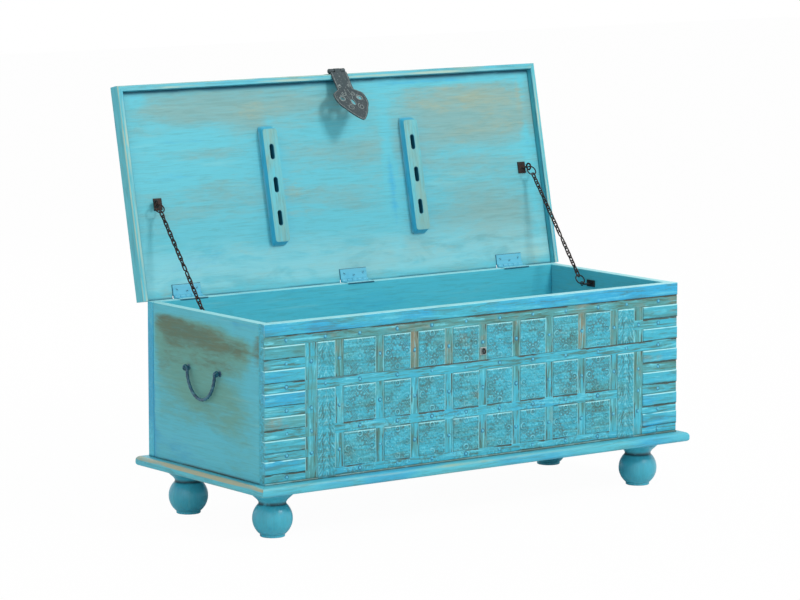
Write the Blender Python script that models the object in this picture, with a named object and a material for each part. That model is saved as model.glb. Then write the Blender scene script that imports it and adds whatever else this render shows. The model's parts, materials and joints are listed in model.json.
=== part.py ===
"""Carved storage chest on ball feet, with a hinged lid held open by two chains.

Metres, +Z up, +X along the chest's length, -Y the carved front.
The origin is the centre of the box's inner floor, the bottom board's top face.
The lid stands open at LID_OPEN, its resting pose against the taut chains.
"""
import bpy
import bmesh
from math import atan2, cos, pi, radians, sin, sqrt
from mathutils import Matrix, Vector

# Clearance between pieces that touch on the real chest
GAP = 0.0003

# Box
BOX_LENGTH = 1.060
BOX_DEPTH = 0.422
BOX_HEIGHT = 0.320
BOARD = 0.020
BOTTOM_BOARD = 0.012

# Base frame and ball feet
BASE_PROJECTION = 0.020
BASE_HEIGHT = 0.0197
BASE_WIDTH = 0.125
BASE_TOP_ROUND = 0.008
BASE_FOOT_ROUND = 0.005
FOOT_INSET_X = 0.057
FOOT_INSET_Y = 0.0595
FOOT_COLLAR_RADIUS = 0.042
FOOT_COLLAR_HEIGHT = 0.010
FOOT_CHAMFER_RADIUS = 0.0389
FOOT_CHAMFER_HEIGHT = 0.005
FOOT_NECK_RADIUS = 0.0274
FOOT_NECK_DROP = 0.0277
FOOT_BALL_RADIUS = 0.0405
FOOT_BALL_DROP = 0.0583
FOOT_PAD_RADIUS = 0.0248
FOOT_HEIGHT = 0.0949
FOOT_SIDES = 20

# Iron straps let into the carved front, in rows 0 to 6 from the top band (0) by the middle band (2)
TOP_BAND_DROP = 0.0355
TOP_BAND_HEIGHT = 0.019
MIDDLE_BAND_HEIGHT = 0.0195
STRAP_HEIGHT = 0.020
LOW_STRAP_HEIGHT = 0.0155
LOW_STRAP_PITCH = 0.0432
LAST_WIDE_ROW = 4
LAST_ROW = 6
STRIP_FOOT_RISE = 0.004
LEFT_COLUMN_INSET = 0.1119
LEFT_COLUMN_WIDTH = 0.0292
RIGHT_COLUMN_INSET = 0.1060
RIGHT_COLUMN_WIDTH = 0.0248
DIVIDER_WIDTH = 0.021
FIRST_DIVIDER_INSET = 0.180
LAST_DIVIDER_INSET = 0.1729
FIRST_BAY = 0.0995
EQUAL_BAYS = 7
STRAP_RECESS = 0.0020
STRAP_THICKNESS = 0.0022

# Lock staple on the front
STAPLE_DROP = 0.1002
STAPLE_PLATE = 0.016
STAPLE_PLATE_THICKNESS = 0.0012
STAPLE_RADIUS = 0.0045
STAPLE_WIRE = 0.0016
STAPLE_REACH = 0.009

# Lid
LID_OPEN = radians(102.0)
LID_RISE = 0.0046
LID_THICKNESS = 0.016
LID_CLEARANCE = 0.001
LID_BACK_OVERHANG = 0.008
KNUCKLE_NOTCH_SIDE = 0.001
KNUCKLE_NOTCH_CLEARANCE = 0.0005
RIM_THICKNESS = 0.0125
RIM_DEPTH = 0.029
RIM_ROUND = 0.003

# Hinges between the back board's top edge and the lid's underside
LEFT_HINGE_INSET = 0.1015
RIGHT_HINGE_INSET = 0.1165
MIDDLE_HINGE_X = -0.0060
HINGE_LENGTH = 0.068
HINGE_LEAF_THICKNESS = 0.0018
HINGE_LEAF_REACH = 0.0245
HINGE_KNUCKLES = 5
KNUCKLE_RADIUS = 0.0040
HINGE_PIN_BACK = 0.0045
HINGE_PIN_RISE = 0.0023
HINGE_PIN_RADIUS = 0.0018
KNUCKLE_WALL_BITE = 0.001
PIN_CLEARANCE = 0.0003
PIN_SIDES = 12

# Slotted battens on the lid's inner face
LEFT_BATTEN_INSET = 0.3435
RIGHT_BATTEN_INSET = 0.3495
BATTEN_WIDTH = 0.036
BATTEN_THICKNESS = 0.018
BATTEN_START = 0.081
BATTEN_END = 0.335
BATTEN_CHAMFER = 0.008
SLOT_CENTRES = (0.139, 0.209, 0.279)
SLOT_LENGTH = 0.033
SLOT_WIDTH = 0.011

# Hasp on the lid's front edge
HASP_X = 0.012
HASP_AXIS_OUT = 0.007
HASP_AXIS_BELOW_LID = 0.005
HASP_BARREL_RADIUS = 0.0054
HASP_BARREL_LENGTH = 0.043
HASP_PIN_RADIUS = 0.0022
HASP_LEAF_HEIGHT = 0.020
HASP_LEAF_THICKNESS = 0.0013
HASP_STRAP_THICKNESS = 0.0020
HASP_KNUCKLE_LENGTH = 0.016
HASP_LEAN = radians(36.5)
HASP_BEND = radians(12.5)
HASP_BEND_AT = 0.052
HASP_OUTLINE = (
    (0.0210, 0.006), (0.0210, 0.025), (0.0205, 0.038), (0.0210, 0.050), (0.0290, 0.055),
    (0.0380, 0.062), (0.0400, 0.074), (0.0375, 0.092), (0.0290, 0.106), (0.0230, 0.117),
    (0.0130, 0.130), (0.0050, 0.138), (0.0000, 0.140))
HASP_HOLE_X = 0.022
HASP_HOLE_DOWN = 0.076
HASP_HOLE_RADIUS = 0.006
HASP_SLOT_DOWN = 0.088
HASP_SLOT_LENGTH = 0.017
HASP_SLOT_WIDTH = 0.009
HOLE_SIDES = 12

# Lid chains, their eyes and rings
LEFT_CHAIN_INSET = 0.046
RIGHT_CHAIN_INSET = 0.039
LEFT_LID_EYE_UP = 0.1881
RIGHT_LID_EYE_UP = 0.2073
LID_EYE_PROUD = 0.0168
BOX_EYE_FROM_BACK = 0.150
BOX_EYE_DROP = 0.028
BRACKET_THICKNESS = 0.0018
LID_BRACKET_WIDTH = 0.020
LID_BRACKET_HEIGHT = 0.025
LID_BRACKET_INWARD = 0.0105
BOX_BRACKET_LENGTH = 0.026
BOX_BRACKET_HEIGHT = 0.0145
BOX_BRACKET_FORWARD = 0.0085
BRACKET_ARM_RADIUS = 0.0018
ARM_FORWARD = 0.0115
EYE_THICKNESS = 0.0025
EYE_RADIUS = 0.0045
EYE_HOLE_RADIUS = 0.0022
RING_RADIUS = 0.01075
RING_WIRE = 0.00125
UPPER_RUN = 0.125
LINK_WIDTH = 0.010
LINK_WIRE = 0.0011
LINK_LENGTH = 0.019
LINK_BITE = 0.0006
LOOP_CLEARANCE = 0.00035
OPEN_PIVOT_CLEARANCE = 0.0022

# Drop handles on the end boards
HANDLE_Y = 0.0037
HANDLE_TOP_DROP = 0.117
HANDLE_HALF_WIDTH = 0.0495
HANDLE_DROP = 0.0584
HANDLE_ROD_RADIUS = 0.0034
HANDLE_STAND_OFF = 0.0085
HANDLE_STUB = 0.0100
HANDLE_EYE_RADIUS = 0.0066
HANDLE_EYE_THICKNESS = 0.0045
HANDLE_HOLE_CLEARANCE = 0.0004
HANDLE_ROSE_RADIUS = 0.0085
HANDLE_ROSE_THICKNESS = 0.0015
HANDLE_POINTS = 14

SIDES = {"left": -1, "right": 1}

# Places that follow from the sizes above
HALF_LENGTH = BOX_LENGTH / 2
HALF_DEPTH = BOX_DEPTH / 2
BOX_FOOT_Z = -BOTTOM_BOARD
BOX_TOP_Z = BOX_FOOT_Z + BOX_HEIGHT
FRONT_Y = -HALF_DEPTH
STRAP_BACK_Y = FRONT_Y + STRAP_RECESS + STRAP_THICKNESS
CHANNEL_Y = STRAP_BACK_Y + GAP
PIN_Y = HALF_DEPTH + HINGE_PIN_BACK
PIN_Z = BOX_TOP_Z + HINGE_PIN_RISE
LID_UNDERSIDE = BOX_TOP_Z + LID_RISE
LID_TOP = LID_UNDERSIDE + LID_THICKNESS
RIM_INNER_X = HALF_LENGTH + LID_CLEARANCE
RIM_INNER_Y = -HALF_DEPTH - LID_CLEARANCE
RIM_OUTER_X = RIM_INNER_X + RIM_THICKNESS
RIM_OUTER_Y = RIM_INNER_Y - RIM_THICKNESS
LID_BACK_Y = HALF_DEPTH + LID_BACK_OVERHANG
HASP_AXIS_Y = RIM_OUTER_Y - HASP_AXIS_OUT
HASP_AXIS_Z = LID_UNDERSIDE - HASP_AXIS_BELOW_LID
TOP_BAND_Z = BOX_TOP_Z - TOP_BAND_DROP
STRIP_FOOT_Z = BOX_FOOT_Z + STRIP_FOOT_RISE
LAST_ROW_Z = STRIP_FOOT_Z + LOW_STRAP_HEIGHT / 2
STRAP_PITCH = (TOP_BAND_Z - LAST_ROW_Z - (LAST_ROW - LAST_WIDE_ROW) * LOW_STRAP_PITCH) / LAST_WIDE_ROW
MIDDLE_BAND_Z = TOP_BAND_Z - 2 * STRAP_PITCH
LEFT_COLUMN_X = LEFT_COLUMN_INSET - HALF_LENGTH
RIGHT_COLUMN_X = HALF_LENGTH - RIGHT_COLUMN_INSET
FIRST_DIVIDER_X = FIRST_DIVIDER_INSET - HALF_LENGTH
LAST_DIVIDER_X = HALF_LENGTH - LAST_DIVIDER_INSET
BAY_PITCH = (LAST_DIVIDER_X - FIRST_DIVIDER_X - FIRST_BAY) / EQUAL_BAYS
STAPLE_Z = BOX_TOP_Z - STAPLE_DROP
HANDLE_Z = BOX_TOP_Z - HANDLE_TOP_DROP
BOX_EYE_Y = HALF_DEPTH - BOX_EYE_FROM_BACK
BOX_EYE_Z = BOX_TOP_Z - BOX_EYE_DROP
HINGE_X = {"left": LEFT_HINGE_INSET - HALF_LENGTH, "middle": MIDDLE_HINGE_X,
           "right": HALF_LENGTH - RIGHT_HINGE_INSET}
BATTEN_X = {"left": LEFT_BATTEN_INSET - HALF_LENGTH, "right": HALF_LENGTH - RIGHT_BATTEN_INSET}
CHAIN_X = {"left": LEFT_CHAIN_INSET - HALF_LENGTH, "right": HALF_LENGTH - RIGHT_CHAIN_INSET}
LID_EYE_UP = {"left": LEFT_LID_EYE_UP, "right": RIGHT_LID_EYE_UP}


def clear_scene():
    for old in list(bpy.data.objects):
        bpy.data.objects.remove(old, do_unlink=True)


def material(name, colour, roughness, metallic=0.0):
    mat = bpy.data.materials.new(name)
    mat.use_nodes = True
    shader = mat.node_tree.nodes["Principled BSDF"]
    shader.inputs["Base Color"].default_value = (*colour, 1.0)
    shader.inputs["Roughness"].default_value = roughness
    shader.inputs["Metallic"].default_value = metallic
    mat.diffuse_color = (*colour, 1.0)
    return mat


def add_object(name, data, mat=None):
    obj = bpy.data.objects.new(name, data)
    bpy.context.scene.collection.objects.link(obj)
    if mat is not None:
        data.materials.append(mat)
    return obj


def from_bmesh(name, bm, mat=None):
    bmesh.ops.recalc_face_normals(bm, faces=bm.faces)
    mesh = bpy.data.meshes.new(name)
    bm.to_mesh(mesh)
    bm.free()
    return add_object(name, mesh, mat)


def solid(name, verts, faces, mat=None):
    bm = bmesh.new()
    made = [bm.verts.new(v) for v in verts]
    for face in faces:
        bm.faces.new([made[i] for i in face])
    return from_bmesh(name, bm, mat)


def box(name, low, high, mat=None):
    """A plain block between two opposite corners."""
    xs, ys, zs = zip(low, high)
    verts = [(x, y, z) for x in xs for y in ys for z in zs]
    faces = [(0, 1, 3, 2), (4, 6, 7, 5), (0, 4, 5, 1), (2, 3, 7, 6), (0, 2, 6, 4), (1, 5, 7, 3)]
    return solid(name, verts, faces, mat)


def circle(centre_a, centre_b, radius, sides):
    turns = [2 * pi * i / sides for i in range(sides)]
    return [(centre_a + radius * cos(t), centre_b + radius * sin(t)) for t in turns]


def prism(name, outlines, place, low, high, mat=None):
    """Extrude flat outlines, the first one outside and the others holes, from low to high.

    place(a, b, c) turns an outline point and a height into a point in space.
    """
    bm = bmesh.new()
    for outline in outlines:
        loop = [bm.verts.new(place(a, b, low)) for a, b in outline]
        for here, after in zip(loop, loop[1:] + loop[:1]):
            bm.edges.new((here, after))
    bmesh.ops.triangle_fill(bm, edges=bm.edges[:], use_beauty=True)
    made = bmesh.ops.extrude_face_region(bm, geom=bm.faces[:])["geom"]
    step = Vector(place(0, 0, high)) - Vector(place(0, 0, low))
    for vert in [g for g in made if isinstance(g, bmesh.types.BMVert)]:
        vert.co += step
    return from_bmesh(name, bm, mat)


def along_x(a, b, c):
    return (c, a, b)


def along_y(a, b, c):
    return (a, c, b)


def along_z(a, b, c):
    return (a, b, c)


def tube(name, points, radius, mat=None, ring=False, roundness=1):
    """A round bar along a list of points, or a closed ring."""
    curve = bpy.data.curves.new(name, "CURVE")
    curve.dimensions = "3D"
    curve.bevel_depth = radius
    curve.bevel_resolution = roundness
    curve.use_fill_caps = not ring
    spline = curve.splines.new("POLY")
    spline.points.add(len(points) - 1)
    for point, place in zip(spline.points, points):
        point.co = (*place, 1.0)
    spline.use_cyclic_u = ring
    return add_object(name, curve, mat)


def turned(name, profile, x, y, mat):
    """A turned piece: the profile runs down its outer side as (radius, height)."""
    mesh = bpy.data.meshes.new(name)
    mesh.from_pydata([(r, 0.0, z) for r, z in profile], [(i, i + 1) for i in range(len(profile) - 1)], [])
    obj = add_object(name, mesh, mat)
    screw = obj.modifiers.new("turn", "SCREW")
    screw.steps = FOOT_SIDES
    screw.render_steps = FOOT_SIDES
    screw.use_merge_vertices = True
    screw.merge_threshold = 0.00005
    screw.use_smooth_shade = True
    obj.location = (x, y, 0.0)
    return obj


def evaluated_mesh(obj):
    bpy.context.view_layer.update()
    graph = bpy.context.evaluated_depsgraph_get()
    return bpy.data.meshes.new_from_object(obj.evaluated_get(graph))


def fused(name, pieces, mat):
    """Join overlapping pieces into one closed body."""
    base = add_object(name, evaluated_mesh(pieces[0]))
    for piece in pieces[1:]:
        other = add_object(name + "_joined", evaluated_mesh(piece))
        union = base.modifiers.new("union", "BOOLEAN")
        union.operation = "UNION"
        union.solver = "EXACT"
        union.object = other
        joined = evaluated_mesh(base)
        base.modifiers.remove(union)
        base.data = joined
        bpy.data.objects.remove(other, do_unlink=True)
    for piece in pieces:
        bpy.data.objects.remove(piece, do_unlink=True)
    base.name = name
    base.data.materials.clear()
    base.data.materials.append(mat)
    return base


def smooth(obj, angle=35.0):
    obj.data.shade_smooth()
    obj.data.set_sharp_from_angle(angle=radians(angle))


def empty_at(name, location):
    empty = bpy.data.objects.new(name, None)
    bpy.context.scene.collection.objects.link(empty)
    empty.location = location
    bpy.context.view_layer.update()
    return empty


def hang_on(parent, *children):
    """Parent objects to an empty without moving them."""
    bpy.context.view_layer.update()
    for child in children:
        child.parent = parent
        child.matrix_parent_inverse = parent.matrix_world.inverted()


def rounded_edge(width, depth, top_round, foot_round, steps=3):
    """Section of a moulding as (distance from the outer face, height above its foot)."""
    section = [(width, depth)]
    for i in range(steps + 1):
        turn = pi / 2 * i / steps
        section.append((top_round * (1 - sin(turn)), depth - top_round * (1 - cos(turn))))
    for i in range(steps + 1):
        turn = pi / 2 * i / steps
        section.append((foot_round * (1 - cos(turn)), foot_round * (1 - sin(turn))))
    section.append((width, 0.0))
    return section


def moulding(name, section, place, start, end, start_mitre, end_mitre, mat):
    """Run a section along a rail; a mitred end draws in by the distance from the outer face."""
    shorten = GAP / sqrt(2)
    verts = []
    for run, mitre, sense in ((start, start_mitre, 1), (end, end_mitre, -1)):
        for inward, height in section:
            draw_in = inward + shorten if mitre else 0.0
            verts.append(place(run + sense * draw_in, inward, height))
    count = len(section)
    faces = [(i, (i + 1) % count, count + (i + 1) % count, count + i) for i in range(count)]
    faces += [tuple(range(count)), tuple(range(2 * count - 1, count - 1, -1))]
    return solid(name, verts, faces, mat)


def divider_places():
    """Centres of the vertical dividers; the first bay is wider than the rest."""
    return [FIRST_DIVIDER_X] + [FIRST_DIVIDER_X + FIRST_BAY + i * BAY_PITCH for i in range(EQUAL_BAYS + 1)]


def row_span(row):
    """Lower and upper edge of a strap row."""
    low_rows = max(row - LAST_WIDE_ROW, 0)
    centre = TOP_BAND_Z - (row - low_rows) * STRAP_PITCH - low_rows * LOW_STRAP_PITCH
    height = LOW_STRAP_HEIGHT if low_rows else STRAP_HEIGHT
    return centre - height / 2, centre + height / 2


def strap_nets():
    """Rectangles (x0, x1, z0, z1) of each welded net of straps on the front."""
    top_low = TOP_BAND_Z - TOP_BAND_HEIGHT / 2
    top_high = TOP_BAND_Z + TOP_BAND_HEIGHT / 2
    middle_low = MIDDLE_BAND_Z - MIDDLE_BAND_HEIGHT / 2
    middle_high = MIDDLE_BAND_Z + MIDDLE_BAND_HEIGHT / 2
    left_in = LEFT_COLUMN_X - LEFT_COLUMN_WIDTH / 2
    left_out = LEFT_COLUMN_X + LEFT_COLUMN_WIDTH / 2
    right_in = RIGHT_COLUMN_X - RIGHT_COLUMN_WIDTH / 2
    right_out = RIGHT_COLUMN_X + RIGHT_COLUMN_WIDTH / 2
    places = divider_places()
    half = DIVIDER_WIDTH / 2
    top = [(-HALF_LENGTH, HALF_LENGTH, top_low, top_high)]
    top += [(x - half, x + half, middle_high + GAP, top_high) for x in places]
    middle = [(left_out + GAP, HALF_LENGTH, middle_low, middle_high)]
    middle += [(x - half, x + half, STRIP_FOOT_Z, middle_high) for x in places]
    for row in (4, 6):
        middle.append((places[0], places[-1], *row_span(row)))
    left = [(left_in, left_out, STRIP_FOOT_Z, top_low - GAP)]
    for row in (1, 3, 4, 5, 6):
        left.append((-HALF_LENGTH, left_out, *row_span(row)))
    left.append((-HALF_LENGTH, left_out, middle_low, middle_high))
    upper = [(right_in, right_out, middle_high + GAP, top_low - GAP)]
    upper.append((right_in, HALF_LENGTH, *row_span(1)))
    lower = [(right_in, right_out, STRIP_FOOT_Z, middle_low - GAP)]
    for row in (3, 4, 5, 6):
        lower.append((right_in, HALF_LENGTH, *row_span(row)))
    return {"top_band_straps": top, "middle_band_straps": middle, "left_column_straps": left,
            "right_upper_straps": upper, "right_lower_straps": lower}


def inside(rectangles, x, z):
    return any(x0 < x < x1 and z0 < z < z1 for x0, x1, z0, z1 in rectangles)


def breaks(values, low, high):
    kept = sorted({round(min(max(v, low), high), 7) for v in values} | {low, high})
    return [v for i, v in enumerate(kept) if i == 0 or v - kept[i - 1] > 1e-6]


def relief(name, xs, zs, face_y, back_y, mat):
    """A board or net whose front stands at face_y(x, z) over each cell; None leaves the cell out."""
    bm = bmesh.new()
    made = {}

    def vert(i, j, y):
        key = (i, j, round(y, 7))
        if key not in made:
            made[key] = bm.verts.new((xs[i], y, zs[j]))
        return made[key]

    cells = {}
    for i in range(len(xs) - 1):
        for j in range(len(zs) - 1):
            cells[i, j] = face_y((xs[i] + xs[i + 1]) / 2, (zs[j] + zs[j + 1]) / 2)
    for (i, j), y in cells.items():
        if y is None:
            continue
        corners = ((i, j), (i + 1, j), (i + 1, j + 1), (i, j + 1))
        bm.faces.new([vert(a, b, y) for a, b in corners])
        bm.faces.new([vert(a, b, back_y) for a, b in reversed(corners)])
        beside = ((i, j - 1), (i + 1, j), (i, j + 1), (i - 1, j))
        for k, neighbour in enumerate(beside):
            other = cells.get(neighbour)
            deep = back_y if other is None else other
            if deep <= y + 1e-9:
                continue
            (a, b), (c, d) = corners[k], corners[(k + 1) % 4]
            levels_ab = sorted({y, deep} | corner_levels(cells, a, b, y, deep))
            levels_cd = sorted({y, deep} | corner_levels(cells, c, d, y, deep))
            ring = [vert(a, b, v) for v in levels_ab] + [vert(c, d, v) for v in reversed(levels_cd)]
            bm.faces.new(ring)
    bmesh.ops.dissolve_limit(bm, angle_limit=radians(0.5), verts=bm.verts[:], edges=bm.edges[:])
    return from_bmesh(name, bm, mat)


def corner_levels(cells, i, j, low, high):
    """Heights strictly between low and high at which other cells meet the corner (i, j)."""
    around = [cells.get((i + a, j + b)) for a in (-1, 0) for b in (-1, 0)]
    return {y for y in around if y is not None and low + 1e-9 < y < high - 1e-9}


def build_front(wood, iron):
    nets = strap_nets()
    channels = []
    for rectangles in nets.values():
        channels += [(x0 - GAP, x1 + GAP, z0 - GAP, z1 + GAP) for x0, x1, z0, z1 in rectangles]
    xs = breaks([v for r in channels for v in r[:2]], -HALF_LENGTH, HALF_LENGTH)
    zs = breaks([v for r in channels for v in r[2:]], BOX_FOOT_Z, BOX_TOP_Z)
    back_y = FRONT_Y + BOARD
    relief("front_board", xs, zs, lambda x, z: CHANNEL_Y if inside(channels, x, z) else FRONT_Y, back_y, wood)
    for name, rectangles in nets.items():
        net_xs = breaks([v for r in rectangles for v in r[:2]], min(r[0] for r in rectangles),
                        max(r[1] for r in rectangles))
        net_zs = breaks([v for r in rectangles for v in r[2:]], min(r[2] for r in rectangles),
                        max(r[3] for r in rectangles))
        strap_y = FRONT_Y + STRAP_RECESS
        relief(name, net_xs, net_zs, lambda x, z: strap_y if inside(rectangles, x, z) else None,
               STRAP_BACK_Y, iron)


def build_boards(wood):
    inner_x = HALF_LENGTH - BOARD
    inner_y = HALF_DEPTH - BOARD
    box("back_board", (-HALF_LENGTH, inner_y, BOX_FOOT_Z), (HALF_LENGTH, HALF_DEPTH, BOX_TOP_Z), wood)
    for side, sign in SIDES.items():
        low, high = sorted((sign * inner_x, sign * HALF_LENGTH))
        box(side + "_end_board", (low, -inner_y + GAP, BOX_FOOT_Z), (high, inner_y - GAP, BOX_TOP_Z), wood)
    box("bottom_board", (-inner_x + GAP, -inner_y + GAP, BOX_FOOT_Z), (inner_x - GAP, inner_y - GAP, 0), wood)


def build_base(wood):
    section = rounded_edge(BASE_WIDTH, BASE_HEIGHT, BASE_TOP_ROUND, BASE_FOOT_ROUND)
    foot_z = BOX_FOOT_Z - GAP - BASE_HEIGHT
    long_half = HALF_LENGTH + BASE_PROJECTION
    deep_half = HALF_DEPTH + BASE_PROJECTION
    for name, sign in (("front", -1), ("back", 1)):
        moulding("base_rail_" + name, section,
                 lambda run, inward, height: (run, sign * (deep_half - inward), foot_z + height),
                 -long_half, long_half, True, True, wood)
    for name, sign in SIDES.items():
        moulding("base_rail_" + name, section,
                 lambda run, inward, height: (sign * (long_half - inward), run, foot_z + height),
                 -deep_half, deep_half, True, True, wood)


def foot_profile():
    top = BOX_FOOT_Z - GAP - BASE_HEIGHT - GAP
    collar = top - FOOT_COLLAR_HEIGHT
    middle = top - FOOT_BALL_DROP
    floor = top - FOOT_HEIGHT
    profile = [(0.0, top), (FOOT_COLLAR_RADIUS, top), (FOOT_COLLAR_RADIUS, collar)]
    profile.append((FOOT_CHAMFER_RADIUS, collar - FOOT_CHAMFER_HEIGHT))
    profile.append((FOOT_NECK_RADIUS, top - FOOT_NECK_DROP))
    for degrees in (42, 22, 0, -24, -48):
        turn = radians(degrees)
        profile.append((FOOT_BALL_RADIUS * cos(turn), middle + FOOT_BALL_RADIUS * sin(turn)))
    profile += [(FOOT_PAD_RADIUS, floor), (0.0, floor)]
    return profile


def build_feet(wood):
    profile = foot_profile()
    x = HALF_LENGTH - FOOT_INSET_X
    y = HALF_DEPTH - FOOT_INSET_Y
    for side, sign in SIDES.items():
        turned("foot_front_" + side, profile, sign * x, -y, wood)
        turned("foot_rear_" + side, profile, sign * x, y, wood)


def build_staple(iron):
    """Plate on the divider behind the hasp, with the loop that the hasp's slot passes over."""
    x = min(divider_places(), key=lambda place: abs(place - HASP_X))
    half = STAPLE_PLATE / 2
    back = FRONT_Y + STRAP_RECESS - GAP
    plate = box("plate", (x - half, back - STAPLE_PLATE_THICKNESS, STAPLE_Z - half),
                (x + half, back, STAPLE_Z + half))
    straight = STAPLE_REACH - STAPLE_RADIUS - STAPLE_WIRE
    points = [(x, back - STAPLE_PLATE_THICKNESS / 2, STAPLE_Z - STAPLE_RADIUS)]
    for i in range(7):
        turn = pi * i / 6
        points.append((x, back - STAPLE_PLATE_THICKNESS - straight - STAPLE_RADIUS * sin(turn),
                       STAPLE_Z - STAPLE_RADIUS * cos(turn)))
    points.append((x, back - STAPLE_PLATE_THICKNESS / 2, STAPLE_Z + STAPLE_RADIUS))
    fused("lock_staple", [plate, tube("loop", points, STAPLE_WIRE)], iron)


def knuckle(low, high, y, z, radius, pin_radius):
    bore = circle(y, z, pin_radius + PIN_CLEARANCE, PIN_SIDES)
    return prism("knuckle", [circle(y, z, radius, PIN_SIDES), bore], along_x, low, high)


def pin(name, low, high, y, z, radius, mat):
    obj = prism(name, [circle(y, z, radius, PIN_SIDES)], along_x, low, high, mat)
    smooth(obj)
    return obj


def hinge_leaf(name, centre, low_z, numbers, mat):
    """One leaf with its share of the knuckles, numbered from the left."""
    pitch = HINGE_LENGTH / HINGE_KNUCKLES
    start = centre - HINGE_LENGTH / 2
    high_z = low_z + HINGE_LEAF_THICKNESS
    bite_y = PIN_Y - KNUCKLE_RADIUS + KNUCKLE_WALL_BITE
    pieces = [box("plate", (start, PIN_Y - HINGE_LEAF_REACH, low_z), (start + HINGE_LENGTH, HALF_DEPTH, high_z))]
    for number in numbers:
        low = start + number * pitch + GAP / 2
        high = start + (number + 1) * pitch - GAP / 2
        pieces.append(box("tab", (low, HALF_DEPTH - KNUCKLE_WALL_BITE, low_z), (high, bite_y, high_z)))
        pieces.append(knuckle(low, high, PIN_Y, PIN_Z, KNUCKLE_RADIUS, HINGE_PIN_RADIUS))
    return fused(name, pieces, mat)


def build_hinges(iron):
    """Returns the lid's leaves, modelled with the lid closed."""
    upper = []
    for side, centre in HINGE_X.items():
        lower_z = BOX_TOP_Z + GAP
        upper_z = LID_UNDERSIDE - GAP - HINGE_LEAF_THICKNESS
        hinge_leaf(side + "_hinge_lower_leaf", centre, lower_z, range(0, HINGE_KNUCKLES, 2), iron)
        upper.append(hinge_leaf(side + "_hinge_upper_leaf", centre, upper_z, range(1, HINGE_KNUCKLES, 2), iron))
        half = HINGE_LENGTH / 2
        pin(side + "_hinge_pin", centre - half, centre + half, PIN_Y, PIN_Z, HINGE_PIN_RADIUS, iron)
    return upper


def lid_outline():
    """The lid board from above, with a notch in its rear edge for each hinge's knuckles."""
    side_x = RIM_INNER_X - GAP
    half = HINGE_LENGTH / 2 + KNUCKLE_NOTCH_SIDE
    notch_y = PIN_Y - KNUCKLE_RADIUS - KNUCKLE_NOTCH_CLEARANCE
    points = [(-side_x, LID_BACK_Y), (-side_x, RIM_INNER_Y + GAP), (side_x, RIM_INNER_Y + GAP), (side_x, LID_BACK_Y)]
    for centre in sorted(HINGE_X.values(), reverse=True):
        points += [(centre + half, LID_BACK_Y), (centre + half, notch_y)]
        points += [(centre - half, notch_y), (centre - half, LID_BACK_Y)]
    return points


def build_lid(wood):
    """The lid's wooden pieces, modelled closed."""
    board = prism("lid_board", [lid_outline()], along_z, LID_UNDERSIDE, LID_TOP, wood)
    section = rounded_edge(RIM_THICKNESS, RIM_DEPTH, RIM_ROUND, RIM_ROUND)
    foot_z = LID_TOP - RIM_DEPTH
    pieces = [board]
    pieces.append(moulding("lid_rim_front", section,
                           lambda run, inward, height: (run, RIM_OUTER_Y + inward, foot_z + height),
                           -RIM_OUTER_X, RIM_OUTER_X, True, True, wood))
    for side, sign in SIDES.items():
        pieces.append(moulding("lid_rim_" + side, section,
                               lambda run, inward, height: (sign * (RIM_OUTER_X - inward), run, foot_z + height),
                               RIM_OUTER_Y, LID_BACK_Y, True, False, wood))
    for side, centre in BATTEN_X.items():
        pieces.append(build_batten(side + "_batten", centre, wood))
    return pieces


def build_batten(name, centre, wood):
    """A slotted batten whose ends are chamfered on the face away from the lid."""
    half = BATTEN_WIDTH / 2
    near, far = HALF_DEPTH - BATTEN_START, HALF_DEPTH - BATTEN_END
    outline = [(centre - half, far), (centre + half, far), (centre + half, near), (centre - half, near)]
    slots = []
    for up in SLOT_CENTRES:
        y0, y1 = HALF_DEPTH - up - SLOT_LENGTH / 2, HALF_DEPTH - up + SLOT_LENGTH / 2
        x0, x1 = centre - SLOT_WIDTH / 2, centre + SLOT_WIDTH / 2
        slots.append([(x0, y0), (x0, y1), (x1, y1), (x1, y0)])
    top = LID_UNDERSIDE - GAP
    foot = top - BATTEN_THICKNESS
    obj = prism(name, [outline] + slots, along_z, foot, top, wood)
    for vert in obj.data.vertices:
        if vert.co.z < foot + GAP:
            if vert.co.y > near - GAP:
                vert.co.y -= BATTEN_CHAMFER
            if vert.co.y < far + GAP:
                vert.co.y += BATTEN_CHAMFER
    return obj


def build_hasp(iron):
    """Fixed plate and pin in the lid's closed frame, and the strap hanging below its pin."""
    half = HASP_BARREL_LENGTH / 2
    middle = HASP_KNUCKLE_LENGTH / 2
    back = RIM_OUTER_Y - GAP
    pieces = [box("plate", (HASP_X - half, back - HASP_LEAF_THICKNESS, HASP_AXIS_Z + HASP_BARREL_RADIUS / 3),
                  (HASP_X + half, back, HASP_AXIS_Z + HASP_LEAF_HEIGHT))]
    for low, high in ((-half, -middle - GAP), (middle + GAP, half)):
        pieces.append(knuckle(HASP_X + low, HASP_X + high, HASP_AXIS_Y, HASP_AXIS_Z, HASP_BARREL_RADIUS,
                              HASP_PIN_RADIUS))
        pieces.append(box("tab", (HASP_X + low, HASP_AXIS_Y + HASP_PIN_RADIUS + 3 * GAP, HASP_AXIS_Z + GAP),
                          (HASP_X + high, back, HASP_AXIS_Z + HASP_BARREL_RADIUS / 2)))
    plate = fused("hasp_plate", pieces, iron)
    rod = pin("hasp_pin", HASP_X - half, HASP_X + half, HASP_AXIS_Y, HASP_AXIS_Z, HASP_PIN_RADIUS, iron)
    return plate, rod, build_strap(middle, iron)


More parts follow.
